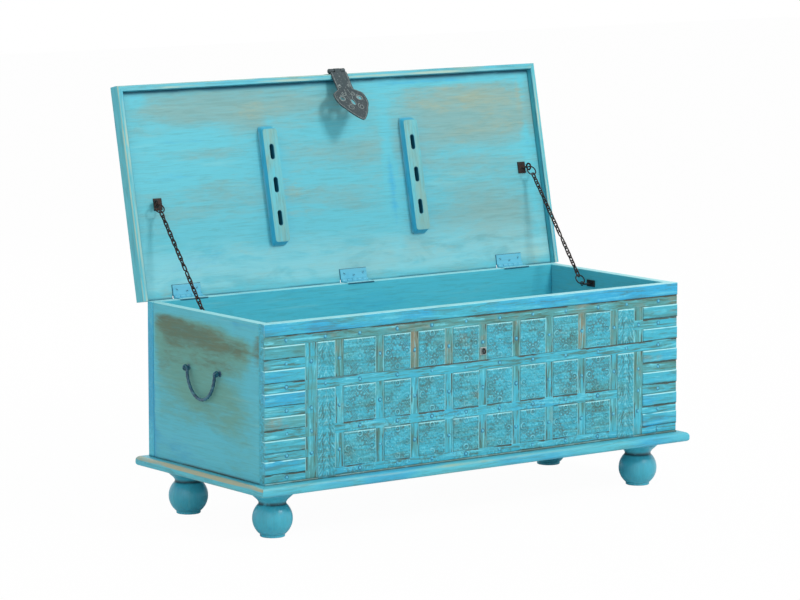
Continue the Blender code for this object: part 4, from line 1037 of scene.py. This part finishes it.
def edging(side, low, high, start, mitres, *nose):
    """A rounded moulding along the front, back, left or right of a box, and its marks.

    It runs from start to the box's end; a mitred end draws in by the distance from the outer face. nose is
    what nose_section takes after the width and the depth.
    """
    run_axis, in_axis = (0, 1) if side in ("front", "back") else (1, 0)
    outer, sense = (low[in_axis], 1) if side in ("front", "left") else (high[in_axis], -1)
    section = nose_section(high[in_axis] - low[in_axis], high.z - low.z, *nose)
    size, end = len(section), high[run_axis]
    count = ceil((end - start) / EDGING_STEP)
    verts, faces, marks = [], [], {"edge": [], "age": [], "dirt": []}
    for k in range(count + 1):
        for inward, height, wear, dirt in section:
            first = start + (inward if mitres[0] else 0.0)
            last = end - (inward if mitres[1] else 0.0)
            run = first + (last - first) * k / count
            waver = 0.00025 * float(cloud(run * 40, height * 60, 91, 2)) if inward < 0.02 else 0.0
            across = outer + sense * (inward + abs(waver))
            verts.append((run, across, low.z + height) if run_axis == 0 else (across, run, low.z + height))
            marks["edge"].append(wear * (0.75 + 1.1 * float(cloud(run * 11, inward * 120, 97, 2))))
            marks["age"].append(0.4 * float(cloud(run * 9, height * 30 + inward * 30, 99, 2)))
            marks["dirt"].append(dirt)
    for k in range(count):
        for i in range(size):
            j = (i + 1) % size
            faces.append((k * size + i, k * size + j, (k + 1) * size + j, (k + 1) * size + i))
    faces += [tuple(range(size))[::-1], tuple(count * size + i for i in range(size))]

    # Turn the faces outward, whichever side the moulding is on
    bm = bmesh.new()
    made = [bm.verts.new(v) for v in verts]
    for face in faces:
        bm.faces.new([made[i] for i in face])
    bmesh.ops.recalc_face_normals(bm, faces=bm.faces[:])
    bm.verts.index_update()
    faces = [tuple(v.index for v in f.verts) for f in bm.faces]
    bm.free()
    return (verts, faces), marks


def build_base():
    for side in ("front", "back", "left", "right"):
        node = "base_rail_" + side
        low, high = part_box(node)
        look, wear, start = ("rails", 0.5, low.x) if side in ("front", "back") else ("side_rails", 1.9, low.y)
        shape, marks = edging(side, low, high, start, (True, True), 0.0085, 0.006, (wear, 0.35))
        make_piece("base_moulding_" + side, shape, look, "chest", [node], marks)


def foot_profile(top, foot, ball, collar):
    """A collar, a drawn-in neck, a ball and a small pad."""
    height = top - foot
    middle = foot + height * 0.385
    profile = [(0.0, top), (collar * 0.96, top), (collar, top - 0.0015), (collar, top - 0.0085)]
    profile += arc(collar - 0.004, top - 0.0085, 0.004, 0, -pi / 3, 4)[1:]
    profile += [(collar * 0.86, top - 0.0155), (collar * 0.74, top - 0.0200), (collar * 0.665, top - 0.0250),
                (collar * 0.665, top - 0.0285)]
    profile += arc(0.0, middle, ball, radians(45), radians(-52), 16)
    return profile + [(ball * 0.62, foot + 0.0010), (ball * 0.60, foot), (0.0, foot)]


def build_feet():
    for node in ("foot_front_left", "foot_front_right", "foot_rear_left", "foot_rear_right"):
        low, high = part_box(node)
        centre, collar = (low + high) / 2, (high.x - low.x) / 2
        profile = foot_profile(high.z, low.z, collar * 0.965, collar * 0.995)
        shape = moved(lathe(profile), Matrix.Translation((centre.x, centre.y, 0.0)))
        # Dark in the groove under the collar: painted shade
        groove = np.exp(-((np.array(shape[0])[:, 2] - high.z + 0.0275) / 0.0035) ** 2)
        make_piece("ball_" + node, shape, "feet", "chest", [node], {"dirt": groove}, sharp=35)


# Lid

FLAT = Matrix.Rotation(-pi / 2, 4, "X")
LID_GREY = (
    (-0.28, 0.165, 0.22, 0.035, 0.6), (-0.34, 0.073, 0.14, 0.014, 0.5), (0.04, 0.055, 0.11, 0.030, 0.5),
    (0.36, 0.084, 0.16, 0.035, 0.7), (0.376, -0.08, 0.14, 0.08, 0.6), (-0.10, 0.06, 0.07, 0.05, 0.3),
    (0.32, 0.15, 0.20, 0.05, 0.6), (-0.40, 0.105, 0.10, 0.014, -0.6), (-0.42, 0.035, 0.10, 0.03, -0.5),
    (0.29, 0.203, 0.20, 0.008, -1.3), (-0.40, -0.15, 0.12, 0.03, -0.4), (0.40, 0.12, 0.14, 0.06, 0.5),
    (-0.50, 0.20, 0.02, 0.02, -0.8), (-0.175, 0.0, 0.014, 0.13, -0.9), (0.125, 0.0, 0.014, 0.13, -0.9),
    (-0.02, 0.105, 0.09, 0.02, -0.5), (0.505, 0.05, 0.012, 0.20, -0.5))
LID_TAN = (
    (-0.46, 0.187, 0.03, 0.008, 0.40), (-0.26, 0.178, 0.08, 0.008, 0.25), (-0.20, 0.158, 0.06, 0.022, 0.30),
    (0.28, 0.172, 0.20, 0.025, 0.40), (0.30, 0.150, 0.14, 0.020, 0.40), (0.44, 0.150, 0.08, 0.04, 0.40),
    (-0.28, -0.125, 0.08, 0.022, 0.4), (-0.477, -0.205, 0.02, 0.015, 0.7), (0.237, -0.16, 0.10, 0.018, 0.4),
    (0.484, -0.19, 0.035, 0.03, 0.6), (0.34, 0.085, 0.16, 0.025, 0.4), (0.500, 0.16, 0.006, 0.07, 0.9),
    (-0.15, -0.01, 0.05, 0.13, 0.25))


def lid_panel():
    """The lid board, worked out with its inner face toward -Y and its hinged edge down."""
    xs, zs, front = plan("lid_board", FLAT @ CLOSE_LID)
    low, high = closed_box("lid_board")
    f = Field(xs, zs, ~np.isnan(front), PANEL_STEP, PANEL_ROUND)
    face = np.nanmin(front)
    reach = np.where(f.all_in, np.minimum(f.reach, PANEL_ROUND), 0.0)
    drop = PANEL_ROUND - np.sqrt(PANEL_ROUND ** 2 - (PANEL_ROUND - reach) ** 2)
    shape, used = relief_shape(f, face + drop, face + (high.z - low.z) - drop)
    from_hinge, from_top = f.z - zs[0], zs[-1] - f.z
    # Darker along the hinged edge and under the rim along the top edge: painted shade in the creases
    crease_shade = np.maximum(0.7 * smoothstep(0.0060, 0.0040, from_hinge), smoothstep(0.0060, 0.0030, from_top))
    pale = 0.50 * smoothstep(0.20, 0.04, from_hinge) * smoothstep(0.006, 0.012, from_hinge)
    marks = plate_marks(used, age=(soft_patches(LID_GREY, f.x, f.z), 0.3 * np.ones_like(f.x)),
                        bare=soft_patches(LID_TAN, f.x, f.z), edge=pale, dirt=crease_shade)
    make_piece("lid_panel", shape, "lid", "lid", ["lid_board"], marks, OPEN_LID @ FLAT.inverted())


# Across a lid rim's foot: (share of the width, edge wear, darkening); the darkening near the inner corner is
# painted shade
RIM_WEAR = ((0.42, 0.40, 0.0), (0.58, 0.85, 0.0), (0.78, 0.85, 0.0), (0.88, 0.50, 0.15))


def build_lid():
    lid_panel()
    front_edge = closed_box("lid_rim_front")[0].y
    for side in ("front", "left", "right"):
        node = "lid_rim_" + side
        low, high = closed_box(node)
        in_front = side == "front"
        start = low.x if in_front else front_edge
        shape, marks = edging(side, low, high, start, (True, in_front), 0.003, 0.0035, (0.5, 0.9), RIM_WEAR,
                              3)
        look = "rims" if in_front else "side_rims"
        make_piece("lid_edge_" + side, shape, look, "lid", [node], marks, OPEN_LID)
    for side in SIDES:
        build_batten(side)


def batten_slots(node, low, high):
    """Where the slots start and end along Y, and their two sides in X, from the CAD batten's inner walls."""
    places = [CLOSE_LID @ v.co for v in frame["nodes"][node].data.vertices]
    inner = [p for p in places if low.x + 0.004 < p.x < high.x - 0.004]
    ends = [y for y in sorted({round(p.y, 4) for p in inner}) if low.y + 0.012 < y < high.y - 0.012]
    return list(zip(ends[0::2], ends[1::2])), min(p.x for p in inner), max(p.x for p in inner)


def build_batten(side):
    """A batten with slots through it and ends that slope in, and dark linings in the slots as painted shade.
    """
    node = side + "_batten"
    low, high = closed_box(node)
    spans, slot_low, slot_high = batten_slots(node, low, high)
    middle, half_slot = (slot_low + slot_high) / 2, (slot_high - slot_low) / 2
    outline = []
    for quarter, (a, b) in enumerate(((1, 1), (-1, 1), (-1, -1), (1, -1))):
        x, y = (high if a > 0 else low).x - a * BATTEN_CORNER, (high if b > 0 else low).y - b * BATTEN_CORNER
        outline += arc(x, y, BATTEN_CORNER, quarter * pi / 2, (quarter + 1) * pi / 2, 4)
    slots = [slot_outline(middle, (a + b) / 2, (b - a) / 2, half_slot) for a, b in spans]
    block, faces = outline_prism([outline] + slots, low.z, high.z)
    verts = []
    for x, y, z in block:
        if z < low.z + 0.001 and y < low.y + BATTEN_CORNER + 0.001:
            y += BATTEN_SLOPE
        elif z < low.z + 0.001 and y > high.y - BATTEN_CORNER - 0.001:
            y -= BATTEN_SLOPE
        verts.append((x, y, z))
    edge = [0.42 if vert[2] > high.z - 0.001 else 0.0 for vert in verts]
    make_piece(side + "_slotted_batten", (verts, faces), "battens", "lid", [node], {"edge": edge}, OPEN_LID,
               35, bevel=0.0012)
    # Thin dark walls inside each slot and a dark sheet across its floor: painted shade
    slot_shades = []
    for a, b in spans:
        walls = [slot_outline(middle, (a + b) / 2, (b - a) / 2 - d, half_slot - d) for d in (0.0001, 0.0007)]
        slot_shades.append(outline_prism(walls, low.z + 0.0012, high.z))
        slot_shades.append(outline_prism(walls[:1], high.z - 0.0006, high.z - 0.0001))
    slot_shade = merged(*slot_shades)
    dirt = [1.0] * len(slot_shade[0])
    make_piece(side + "_batten_slots", slot_shade, "battens", "lid", (), {"dirt": dirt}, OPEN_LID)


# Hinges

def screw_head(radius, rise):
    """A round slotted head standing up from z = 0, and its dark marks: painted shade in the slot and round
    the rim, with grime.
    """
    rings, sides = 6, 24
    circle = [(cos(2 * pi * k / sides), sin(2 * pi * k / sides)) for k in range(sides)]
    verts, dirt = [(0.0, 0.0, rise * 0.45)], [0.9]
    for ring in range(1, rings + 1):
        far = radius * ring / rings
        for x, y in circle:
            slot = abs(far * x) < radius * 0.20 and ring < rings
            verts.append((far * x, far * y, rise * (1 - (far / radius) ** 3) - rise * 0.55 * slot))
            # Dark in the slot, at the middle and round the rim: painted shade with grime
            dirt.append(0.9 if slot or ring in (1, 2, rings) else 0.0)
    verts += [(radius * x, radius * y, -rise * 0.5) for x, y in circle]
    faces = [(0, 1 + k, 1 + (k + 1) % sides) for k in range(sides)]
    for start in range(1, 1 + rings * sides, sides):
        for k in range(sides):
            n = (k + 1) % sides
            faces.append((start + k, start + sides + k, start + sides + n, start + n))
    faces.append(tuple(range(len(verts) - 1, len(verts) - sides - 1, -1)))
    return (verts, faces), dirt + [0.9] * sides


def barrel(low, high, y, z, radius):
    """A hinge knuckle along X with worn ends."""
    round_off = radius * 0.12
    points = [(low, y, z), (low + round_off, y, z), (high - round_off, y, z), (high, y, z)]
    return sweep(points, [radius - round_off, radius, radius, radius - round_off], 20)


def leaf_plate(node, closing):
    """Corners of a leaf's flat plate, read from the free edge of the CAD leaf."""
    places = [closing @ v.co for v in frame["nodes"][node].data.vertices]
    front = min(p.y for p in places)
    edge = [p for p in places if p.y < front + 0.001]
    low = Vector(min(p[a] for p in edge) for a in range(3))
    return low, Vector((max(p.x for p in edge), LID_PIN.y - KNUCKLE_RADIUS * 0.6, max(p.z for p in edge)))


def hinge_leaf(side, leaf):
    """A plate with three screws, its knuckles and a thin dark sheet around it as the painted shadow of its
    gap.
    """
    lower = leaf == "lower"
    node = "%s_hinge_%s_leaf" % (side, leaf)
    low, high = leaf_plate(node, Matrix.Identity(4) if lower else CLOSE_LID)
    plate, edge = rounded_block(low, high, 0.0005, 0.012)
    # The lower leaf's front edge is pale: painted highlight where it catches the light
    edge = [0.75 * e if lower and vert[1] < low.y + 0.004 else 0.12 * e for e, vert in zip(edge, plate[0])]
    # A thin dark sheet just outside the plate: painted shadow in the gap round the leaf
    if lower:
        gap_low, gap_high = low + Vector((0.0, -0.0006, -0.0026)), Vector((high.x, low.y - 0.0001, low.z))
    else:
        gap_low, gap_high = low + Vector((-0.0014, -0.0012, 0.0014)), high + Vector((0.0008, 0.0, 0.0003))
    gap = rounded_block(gap_low, gap_high, 0.0001)[0]
    shapes, dirt = [plate, gap], [0.0] * len(edge) + [1.0] * len(gap[0])
    for across, along in HINGE_SCREWS:
        x, y = low.x + (high.x - low.x) * across, low.y + (high.y - low.y) * along
        head, head_dirt = screw_head(SCREW_RADIUS, SCREW_RISE)
        place = at((x, y, high.z if lower else low.z), 0.0 if lower else pi, "X")
        shapes.append(moved(head, place @ Matrix.Rotation(0.7 + 2.3 * across, 4, "Z")))
        dirt += head_dirt
    pitch = (high.x - low.x) / HINGE_KNUCKLES
    for k in range(0 if lower else 1, HINGE_KNUCKLES, 2):
        start, end = low.x + k * pitch + KNUCKLE_GAP, low.x + k * pitch + pitch - KNUCKLE_GAP
        shapes.append(barrel(start, end, LID_PIN.y, LID_PIN.z, KNUCKLE_RADIUS))
        dirt += [0.25] * len(shapes[-1][0])
    edge += [0.0] * (len(dirt) - len(edge))
    body, place = ("chest", None) if lower else ("lid", OPEN_LID)
    make_piece("%s_hinge_%s_plate" % (side, leaf), merged(*shapes), "painted_iron", body, [node],
               {"edge": edge, "dirt": dirt}, place, 45)


def build_hinges():
    for side in ("left", "middle", "right"):
        for leaf in ("lower", "upper"):
            hinge_leaf(side, leaf)
        colour_node(side + "_hinge_pin", "painted_iron")


# Chains

def twisted_link(length, number, hand):
    """A link along +Z that starts at z = 0, slightly twisted, each one a quarter turn from the last."""
    half, steps = length / 2, 28
    straight = half - LINK_HALF_WIDTH
    points = []
    for k in range(steps):
        turn = 2 * pi * k / steps
        across = LINK_HALF_WIDTH * cos(turn)
        along = LINK_HALF_WIDTH * sin(turn) + straight * max(-1.0, min(1.0, 2.2 * sin(turn)))
        lean = hand * (LINK_TWIST * along / half + pi / 2 * (number % 2) + 0.10 * sin(number * 2.1))
        points.append((across * cos(lean), across * sin(lean), half + along))
    return sweep(points, LINK_WIRE, 8, closed=True)


def chain_links(node, origin, direction, hand):
    """Links that fill the stretch that the CAD run holds. hand is -1 on the side that mirrors the other."""
    shares = [(v.co - origin).dot(direction) for v in frame["nodes"][node].data.vertices]
    low, high = min(shares), max(shares)
    overlap = 2 * LINK_WIRE * 1.6
    count = max(2, round((high - low - overlap) / LINK_PITCH))
    pitch = (high - low - overlap) / count
    shapes = []
    for number in range(count):
        link = twisted_link(pitch + overlap, number, hand)
        shapes.append(moved(link, Matrix.Translation((0, 0, low + number * pitch))))
    turn = Vector((0, 0, 1)).rotation_difference(direction).to_matrix().to_4x4()
    shape = moved(merged(*shapes), Matrix.Translation(origin) @ turn)
    make_piece(node + "_links", shape, "dark_iron", node, [node], sharp=60)


def chain_ring(node, eye, direction, body, name):
    shape = wire_ring(eye + direction * RING_RADIUS, RING_RADIUS, RING_WIRE, (1, 0, 0), direction, 32)
    make_piece(name, shape, "dark_iron", body, [node])


def build_chains():
    for side, sign in SIDES.items():
        top, foot = (pivot_of("%s_chain_%s_fold" % (side, run)) for run in ("upper", "lower"))
        down = (foot - top).normalized()
        upper, middle, lower = ("%s_chain_%s" % (side, run) for run in ("upper", "middle", "lower"))
        for node, origin, direction in ((upper, top, down), (middle, top, down), (lower, foot, -down)):
            chain_links(node, origin, direction, -sign)
        chain_ring(upper + "_ring", top, down, upper, side + "_chain_top_ring")
        chain_ring(lower + "_ring", foot, -down, lower, side + "_chain_foot_ring")
        lid_bracket(side, sign, CLOSE_LID @ top)
        box_bracket(side, sign, foot)


def lid_bracket(side, sign, eye):
    """A square plate on the lid with a wire loop that carries the chain."""
    node = side + "_chain_lid_bracket"
    low, high = closed_box(node)
    x, face = eye.x - sign * 0.0105, high.z - BRACKET_PLATE
    plate_low, plate_high = Vector((x - 0.010, low.y, face)), Vector((x + 0.010, high.y, high.z))
    plate = rounded_block(plate_low, plate_high, 0.0006, 0.01)[0]
    radius, centre_z = 0.0068, eye.z + 0.0035
    loop = wire_ring((eye.x, eye.y, centre_z), radius, 0.0019, (0, 1, 0), (0, 0, 1))
    stem = [(x, high.z - 0.001), (x + sign * 0.002, high.z - 0.0045),
            (eye.x - sign * 0.002, centre_z + radius * 0.9), (eye.x, centre_z + radius * 0.98)]
    stem = sweep([(along, eye.y, up) for along, up in stem], 0.0020)
    screws = [moved(screw_head(0.0028, 0.0009)[0], at((x, (low.y + high.y) / 2 + end * 0.008, face), pi, "X"))
              for end in (-1, 1)]
    make_piece(side + "_chain_lid_eye", merged(plate, loop, stem, *screws), "dark_iron", "lid", [node], None,
               OPEN_LID, 45)


def box_bracket(side, sign, eye):
    """A plate on the end board with an arm to a wire loop that carries the chain's lower end."""
    node = side + "_chain_box_bracket"
    low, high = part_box(node)
    wall = low.x if sign < 0 else high.x
    near, far = sorted((wall, wall - sign * BRACKET_PLATE))
    plate_low, plate_high = Vector((near, low.y, low.z)), Vector((far, low.y + 0.026, high.z))
    plate = rounded_block(plate_low, plate_high, 0.0006, 0.01)[0]
    radius, arm_y = 0.0040, eye.y - 0.0115
    loop = wire_ring(eye, radius, 0.0013, (0, 1, 0), (0, 0, 1))
    arm = sweep([(wall, arm_y, eye.z), (eye.x - sign * 0.004, arm_y, eye.z), (eye.x, arm_y + 0.003, eye.z),
                 (eye.x, eye.y - radius, eye.z)], 0.0017)
    make_piece(side + "_chain_box_eye", merged(plate, loop, arm), "dark_iron", "chest", [node], sharp=45)


# Handles

def build_handles():
    for side in SIDES:
        node = side + "_handle_bail"
        low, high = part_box(node)
        pivot = pivot_of(side + "_handle_swing")
        drop, half = pivot.z - low.z - 0.0034, (high.y - low.y) / 2 - BAIL_TOE
        steps = 64
        points = [(pivot.x, pivot.y - half * cos(pi * k / steps), pivot.z - drop * sin(pi * k / steps))
                  for k in range(steps + 1)]
        radii = [0.0033 + 0.00028 * sin(k * 1.55) for k in range(steps + 1)]
        toes = [(pivot.x, pivot.y + end * (half + BAIL_TOE), pivot.z) for end in (-1, 1)]
        shape = sweep([toes[0]] + points + [toes[1]], [0.0030] + radii + [0.0030], 12)
        make_piece(side + "_drop_handle", shape, "handle_iron", side + "_bail", [node], sharp=60)
        for end in ("front", "rear"):
            handle_eye(side, end, pivot)


def handle_eye(side, end, pivot):
    """A rose on the end board and the eye that the bail turns in."""
    node = "%s_handle_%s_eye" % (side, end)
    low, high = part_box(node)
    sign = SIDES[side]
    wall = high.x if sign < 0 else low.x
    y, z = (low.y + high.y) / 2, pivot.z
    rose = lathe([(0.0, 0.0020), (0.0038, 0.0019), (0.0056, 0.0012), (0.0064, 0.0), (0.0, 0.0)], 24)
    loop = wire_ring((pivot.x, y, z), 0.0052, 0.0015, (1, 0, 0), (0, 0, 1), 24)
    shank = sweep([(wall, y, z), (pivot.x - sign * 0.0050, y, z)], 0.0020)
    shape = merged(moved(rose, at((wall, y, z), sign * pi / 2, "Y")), loop, shank)
    make_piece("%s_handle_%s_loop" % (side, end), shape, "handle_iron", "chest", [node], sharp=45)


# Hasp and lock staple

HASP_OUTLINE = (
    (0.0205, 0.006), (0.0210, 0.025), (0.0205, 0.038), (0.0210, 0.050), (0.0242, 0.052), (0.0290, 0.055),
    (0.0350, 0.059), (0.0380, 0.062), (0.0395, 0.068), (0.0400, 0.074), (0.0395, 0.083), (0.0375, 0.092),
    (0.0335, 0.1000), (0.0290, 0.1060), (0.0230, 0.1170), (0.0130, 0.1300), (0.0050, 0.1380))
HASP_TIP = 0.140
HASP_HOLE = (0.022, 0.076, 0.0058)
HASP_SLOT = (0.088, 0.0085, 0.0045)
HASP_BARREL = 0.0054
HASP_HALF_LENGTH = 0.0215
HASP_MIDDLE = 0.0080
HASP_THICKNESS = 0.0020
HASP_EAR = 0.0075
HASP_BORDER = 0.0030
HASP_LEAN = radians(36.5)
HASP_BEND = radians(12.5)
HASP_BEND_AT = 0.052
HASP_CURLS = ((0.0235, 0.076, 0.0100, 1), (0.0110, 0.064, 0.0060, -1), (0.0135, 0.102, 0.0085, 1),
              (0.0130, 0.042, 0.0045, 1))
HASP_LEAF = ((0.004, 0.050), (0.0065, 0.070), (0.0030, 0.078))


def strap_bent(shape):
    """Bend a flat strap forward below the line where the CAD strap bends."""
    turn = Matrix.Rotation(-HASP_BEND, 4, "X")
    pivot = Vector((0.0, -HASP_BARREL, -HASP_BEND_AT))
    verts = []
    for vert in shape[0]:
        place = Vector(vert)
        verts.append(tuple(pivot + turn @ (place - pivot) if place.z < -HASP_BEND_AT else place))
    return verts, shape[1]


def curl(centre, down, radius, hand, turns=1.35, steps=22):
    """Points of an embossed curl on the strap's outer face."""
    points = []
    for i in range(steps + 1):
        share = i / steps
        far, turn = radius * (1 - 0.72 * share), hand * 2 * pi * turns * share + pi / 2
        points.append((centre + far * cos(turn), -HASP_BARREL, -down + far * sin(turn)))
    return points


def hasp_strap():
    """The spade-shaped strap, worked out hanging below its pin with its outer face toward -Y."""
    face = -HASP_BARREL
    right = [(x, -down) for x, down in HASP_OUTLINE]
    outline = right + [(0.0, -HASP_TIP)] + [(-x, z) for x, z in reversed(right)]
    hole_x, hole_down, hole_radius = HASP_HOLE
    holes = [arc(sign * hole_x, -hole_down, hole_radius, 0, 2 * pi, 20)[:-1] for sign in (-1, 1)]
    holes.append(slot_outline(0.0, -HASP_SLOT[0], HASP_SLOT[1], HASP_SLOT[2]))
    half = HASP_MIDDLE - KNUCKLE_GAP
    blade = outline_prism([outline] + holes, face, face + HASP_THICKNESS, upright=True)
    neck_low, neck_high = Vector((-half, face, -0.0059)), Vector((half, face + HASP_THICKNESS, -0.0030))
    neck = rounded_block(neck_low, neck_high, 0.0003)[0]
    plain = merged(blade, neck, barrel(-half, half, 0.0, 0.0, HASP_BARREL))
    raised = []
    for sign in (1, -1):
        border = [(sign * (x - HASP_BORDER), face, -down) for x, down in HASP_OUTLINE]
        raised.append(sweep(border + [(0.0, face, -HASP_TIP + 0.0045)], 0.0006, 6))
    raised += [sweep(curl(sign * x, down, radius, sign * hand), 0.00075, 6)
               for x, down, radius, hand in HASP_CURLS for sign in (-1, 1)]
    raised += [sweep([(sign * x, face, -down) for x, down in HASP_LEAF], 0.0007, 6) for sign in (-1, 1)]
    raised += [sweep([(x, face, z) for x, z in hole], 0.0008, 6, closed=True) for hole in holes]
    shape = merged(plain, *raised)
    # The raised border, curls, leaves and hole rims are paler: painted highlight on the embossing, with its
    # wear
    edge = [0.0] * len(plain[0]) + [0.6] * (len(shape[0]) - len(plain[0]))
    shape = moved(strap_bent(shape), at(pivot_of("hasp_swing"), -HASP_LEAN, "X"))
    make_piece("spade_strap", shape, "hasp_iron", "hasp_strap", ["hasp_strap"], {"edge": edge})


def hasp_plate():
    """The fixed plate with its pointed ears and two knuckles, and the pin's round heads."""
    low, high = closed_box("hasp_plate")
    axis = CLOSE_LID @ pivot_of("hasp_swing")
    foot, top = axis.z + HASP_BARREL / 3, high.z
    middle = (foot + top) / 2 - 0.003
    outline = [(low.x, foot), (high.x, foot), (high.x + HASP_EAR, middle), (high.x, top), (low.x, top),
               (low.x - HASP_EAR, middle)]
    knob = [(0.0, 0.0030), (0.0030, 0.0027), (0.0048, 0.0016), (HASP_BARREL, 0.0), (0.0050, -0.0012),
            (0.0, -0.0012)]
    shapes = [outline_prism([outline], high.y - 0.0013, high.y, upright=True)]
    for sign in (-1, 1):
        near, far = sorted(axis.x + sign * x for x in (HASP_MIDDLE + KNUCKLE_GAP, HASP_HALF_LENGTH - 0.0030))
        shapes.append(barrel(near, far, axis.y, axis.z, HASP_BARREL - 0.0004))
        shapes.append(rounded_block(Vector((near, axis.y + 0.0025, axis.z + 0.0003)),
                                    Vector((far, high.y, axis.z + HASP_BARREL / 2)), 0.0003)[0])
        place = (axis.x + sign * (HASP_HALF_LENGTH - 0.0030), axis.y, axis.z)
        shapes.append(moved(lathe(knob, 20), at(place, sign * pi / 2, "Y")))
    shape = merged(*shapes)
    # Paler on the upper side of the knuckles, knobs and their straps: painted highlight
    edge = [0.55 if z > axis.z + HASP_BARREL * 0.4 and y < high.y - 0.002 else 0.0 for _, y, z in shape[0]]
    make_piece("hasp_hinge_plate", moved(shape, OPEN_LID), "hasp_iron", "lid", ["hasp_plate"], {"edge": edge})


def build_hasp():
    hasp_strap()
    hasp_plate()
    colour_node("hasp_pin", "hasp_iron")


def build_staple():
    """The lock staple on its plate, under the hasp."""
    low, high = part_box("lock_staple")
    x, z = (low.x + high.x) / 2, (low.z + high.z) / 2
    plate, edge = rounded_block(Vector((low.x, high.y - 0.0013, low.z)), high, 0.0005, 0.01)
    make_piece("front_staple_plate", plate, "hasp_iron", "chest", (), {"edge": edge}, sharp=45)
    radius, steps = 0.0045, 12
    bow = low.y + 0.0016 + radius
    turns = [pi * k / steps for k in range(steps + 1)]
    points = [(x, high.y, z - radius)] + [(x, bow - radius * sin(t), z - radius * cos(t)) for t in turns]
    make_piece("front_staple", sweep(points + [(x, high.y, z + radius)], 0.0016), "dark_iron", "chest",
               ["lock_staple"], sharp=45)


# Floor, light and camera

def build_stage():
    """A white floor that the camera sees brighter than the light makes it."""
    corners = [(a * FLOOR_HALF, b * FLOOR_HALF, FLOOR_Z) for a, b in ((-1, -1), (1, -1), (1, 1), (-1, 1))]
    mesh = bpy.data.meshes.new("studio_floor")
    mesh.from_pydata(corners, [], [(0, 1, 2, 3)])
    floor = linked("studio_floor", mesh)
    n = Nodes("studio_floor")
    surface = {"Base Color": (0.86, 0.86, 0.86, 1.0), "Roughness": 0.9, "Specular IOR Level": 0.0}
    for name, value in surface.items():
        n.feed(n.shader.inputs[name], value)
    rays = n.new("ShaderNodeLightPath")
    share = n.maths("MULTIPLY", rays.outputs["Is Camera Ray"], 0.975)
    glow = n.new("ShaderNodeEmission").outputs["Emission"]
    blend = n.new("ShaderNodeMixShader", {0: share, 1: n.shader.outputs["BSDF"], 2: glow})
    n.feed(n.tree.nodes["Material Output"].inputs["Surface"], blend.outputs["Shader"])
    mesh.materials.append(n.material)


def area_light(name, place, aim, size, power):
    lamp = bpy.data.lights.new(name, "AREA")
    lamp.shape = "RECTANGLE"
    lamp.size, lamp.size_y = size
    lamp.energy = power
    obj = linked(name, lamp)
    obj.location = place
    obj.rotation_euler = (Vector(aim) - Vector(place)).to_track_quat("-Z", "Y").to_euler()


def build_light():
    """White surroundings, dimmer for diffuse light than for camera and reflections, and three lamps."""
    world = bpy.data.worlds.new("studio")
    bpy.context.scene.world = world
    world.use_nodes = True
    nodes, links = world.node_tree.nodes, world.node_tree.links
    background = nodes["Background"]
    background.inputs["Color"].default_value = (1.0, 1.0, 1.0, 1.0)
    rays = nodes.new("ShaderNodeLightPath")
    seen = nodes.new("ShaderNodeMath")
    seen.operation = "MAXIMUM"
    level = nodes.new("ShaderNodeMapRange")
    level.inputs["To Min"].default_value = 0.64
    level.inputs["To Max"].default_value = 1.0
    links.new(rays.outputs["Is Camera Ray"], seen.inputs[0])
    links.new(rays.outputs["Is Glossy Ray"], seen.inputs[1])
    links.new(seen.outputs[0], level.inputs["Value"])
    links.new(level.outputs["Result"], background.inputs["Strength"])
    area_light("key", (1.3, -3.6, 3.4), (0.0, 0.0, 0.35), (1.2, 1.0), 100)
    area_light("fill", (-3.4, -2.2, 1.6), (0.0, 0.0, 0.2), (2.4, 2.0), 12)
    area_light("back", (0.5, 3.5, 2.6), (0.0, 0.0, 0.3), (3.0, 2.0), 40)


def build_camera():
    data = bpy.data.cameras.new("photo_camera")
    data.lens, data.sensor_width = CAMERA_LENS, 36.0
    camera = linked("photo_camera", data)
    camera.location = CAMERA_PLACE
    camera.rotation_euler = (pi / 2 - CAMERA_PITCH, 0.0, -CAMERA_HEADING)
    bpy.context.scene.camera = camera


bpy.context.scene.view_settings.view_transform = "Standard"
build_camera()
build_light()
build_stage()
build_front()
build_boards()
build_base()
build_feet()
build_lid()
build_hinges()
build_chains()
build_handles()
build_hasp()
build_staple()
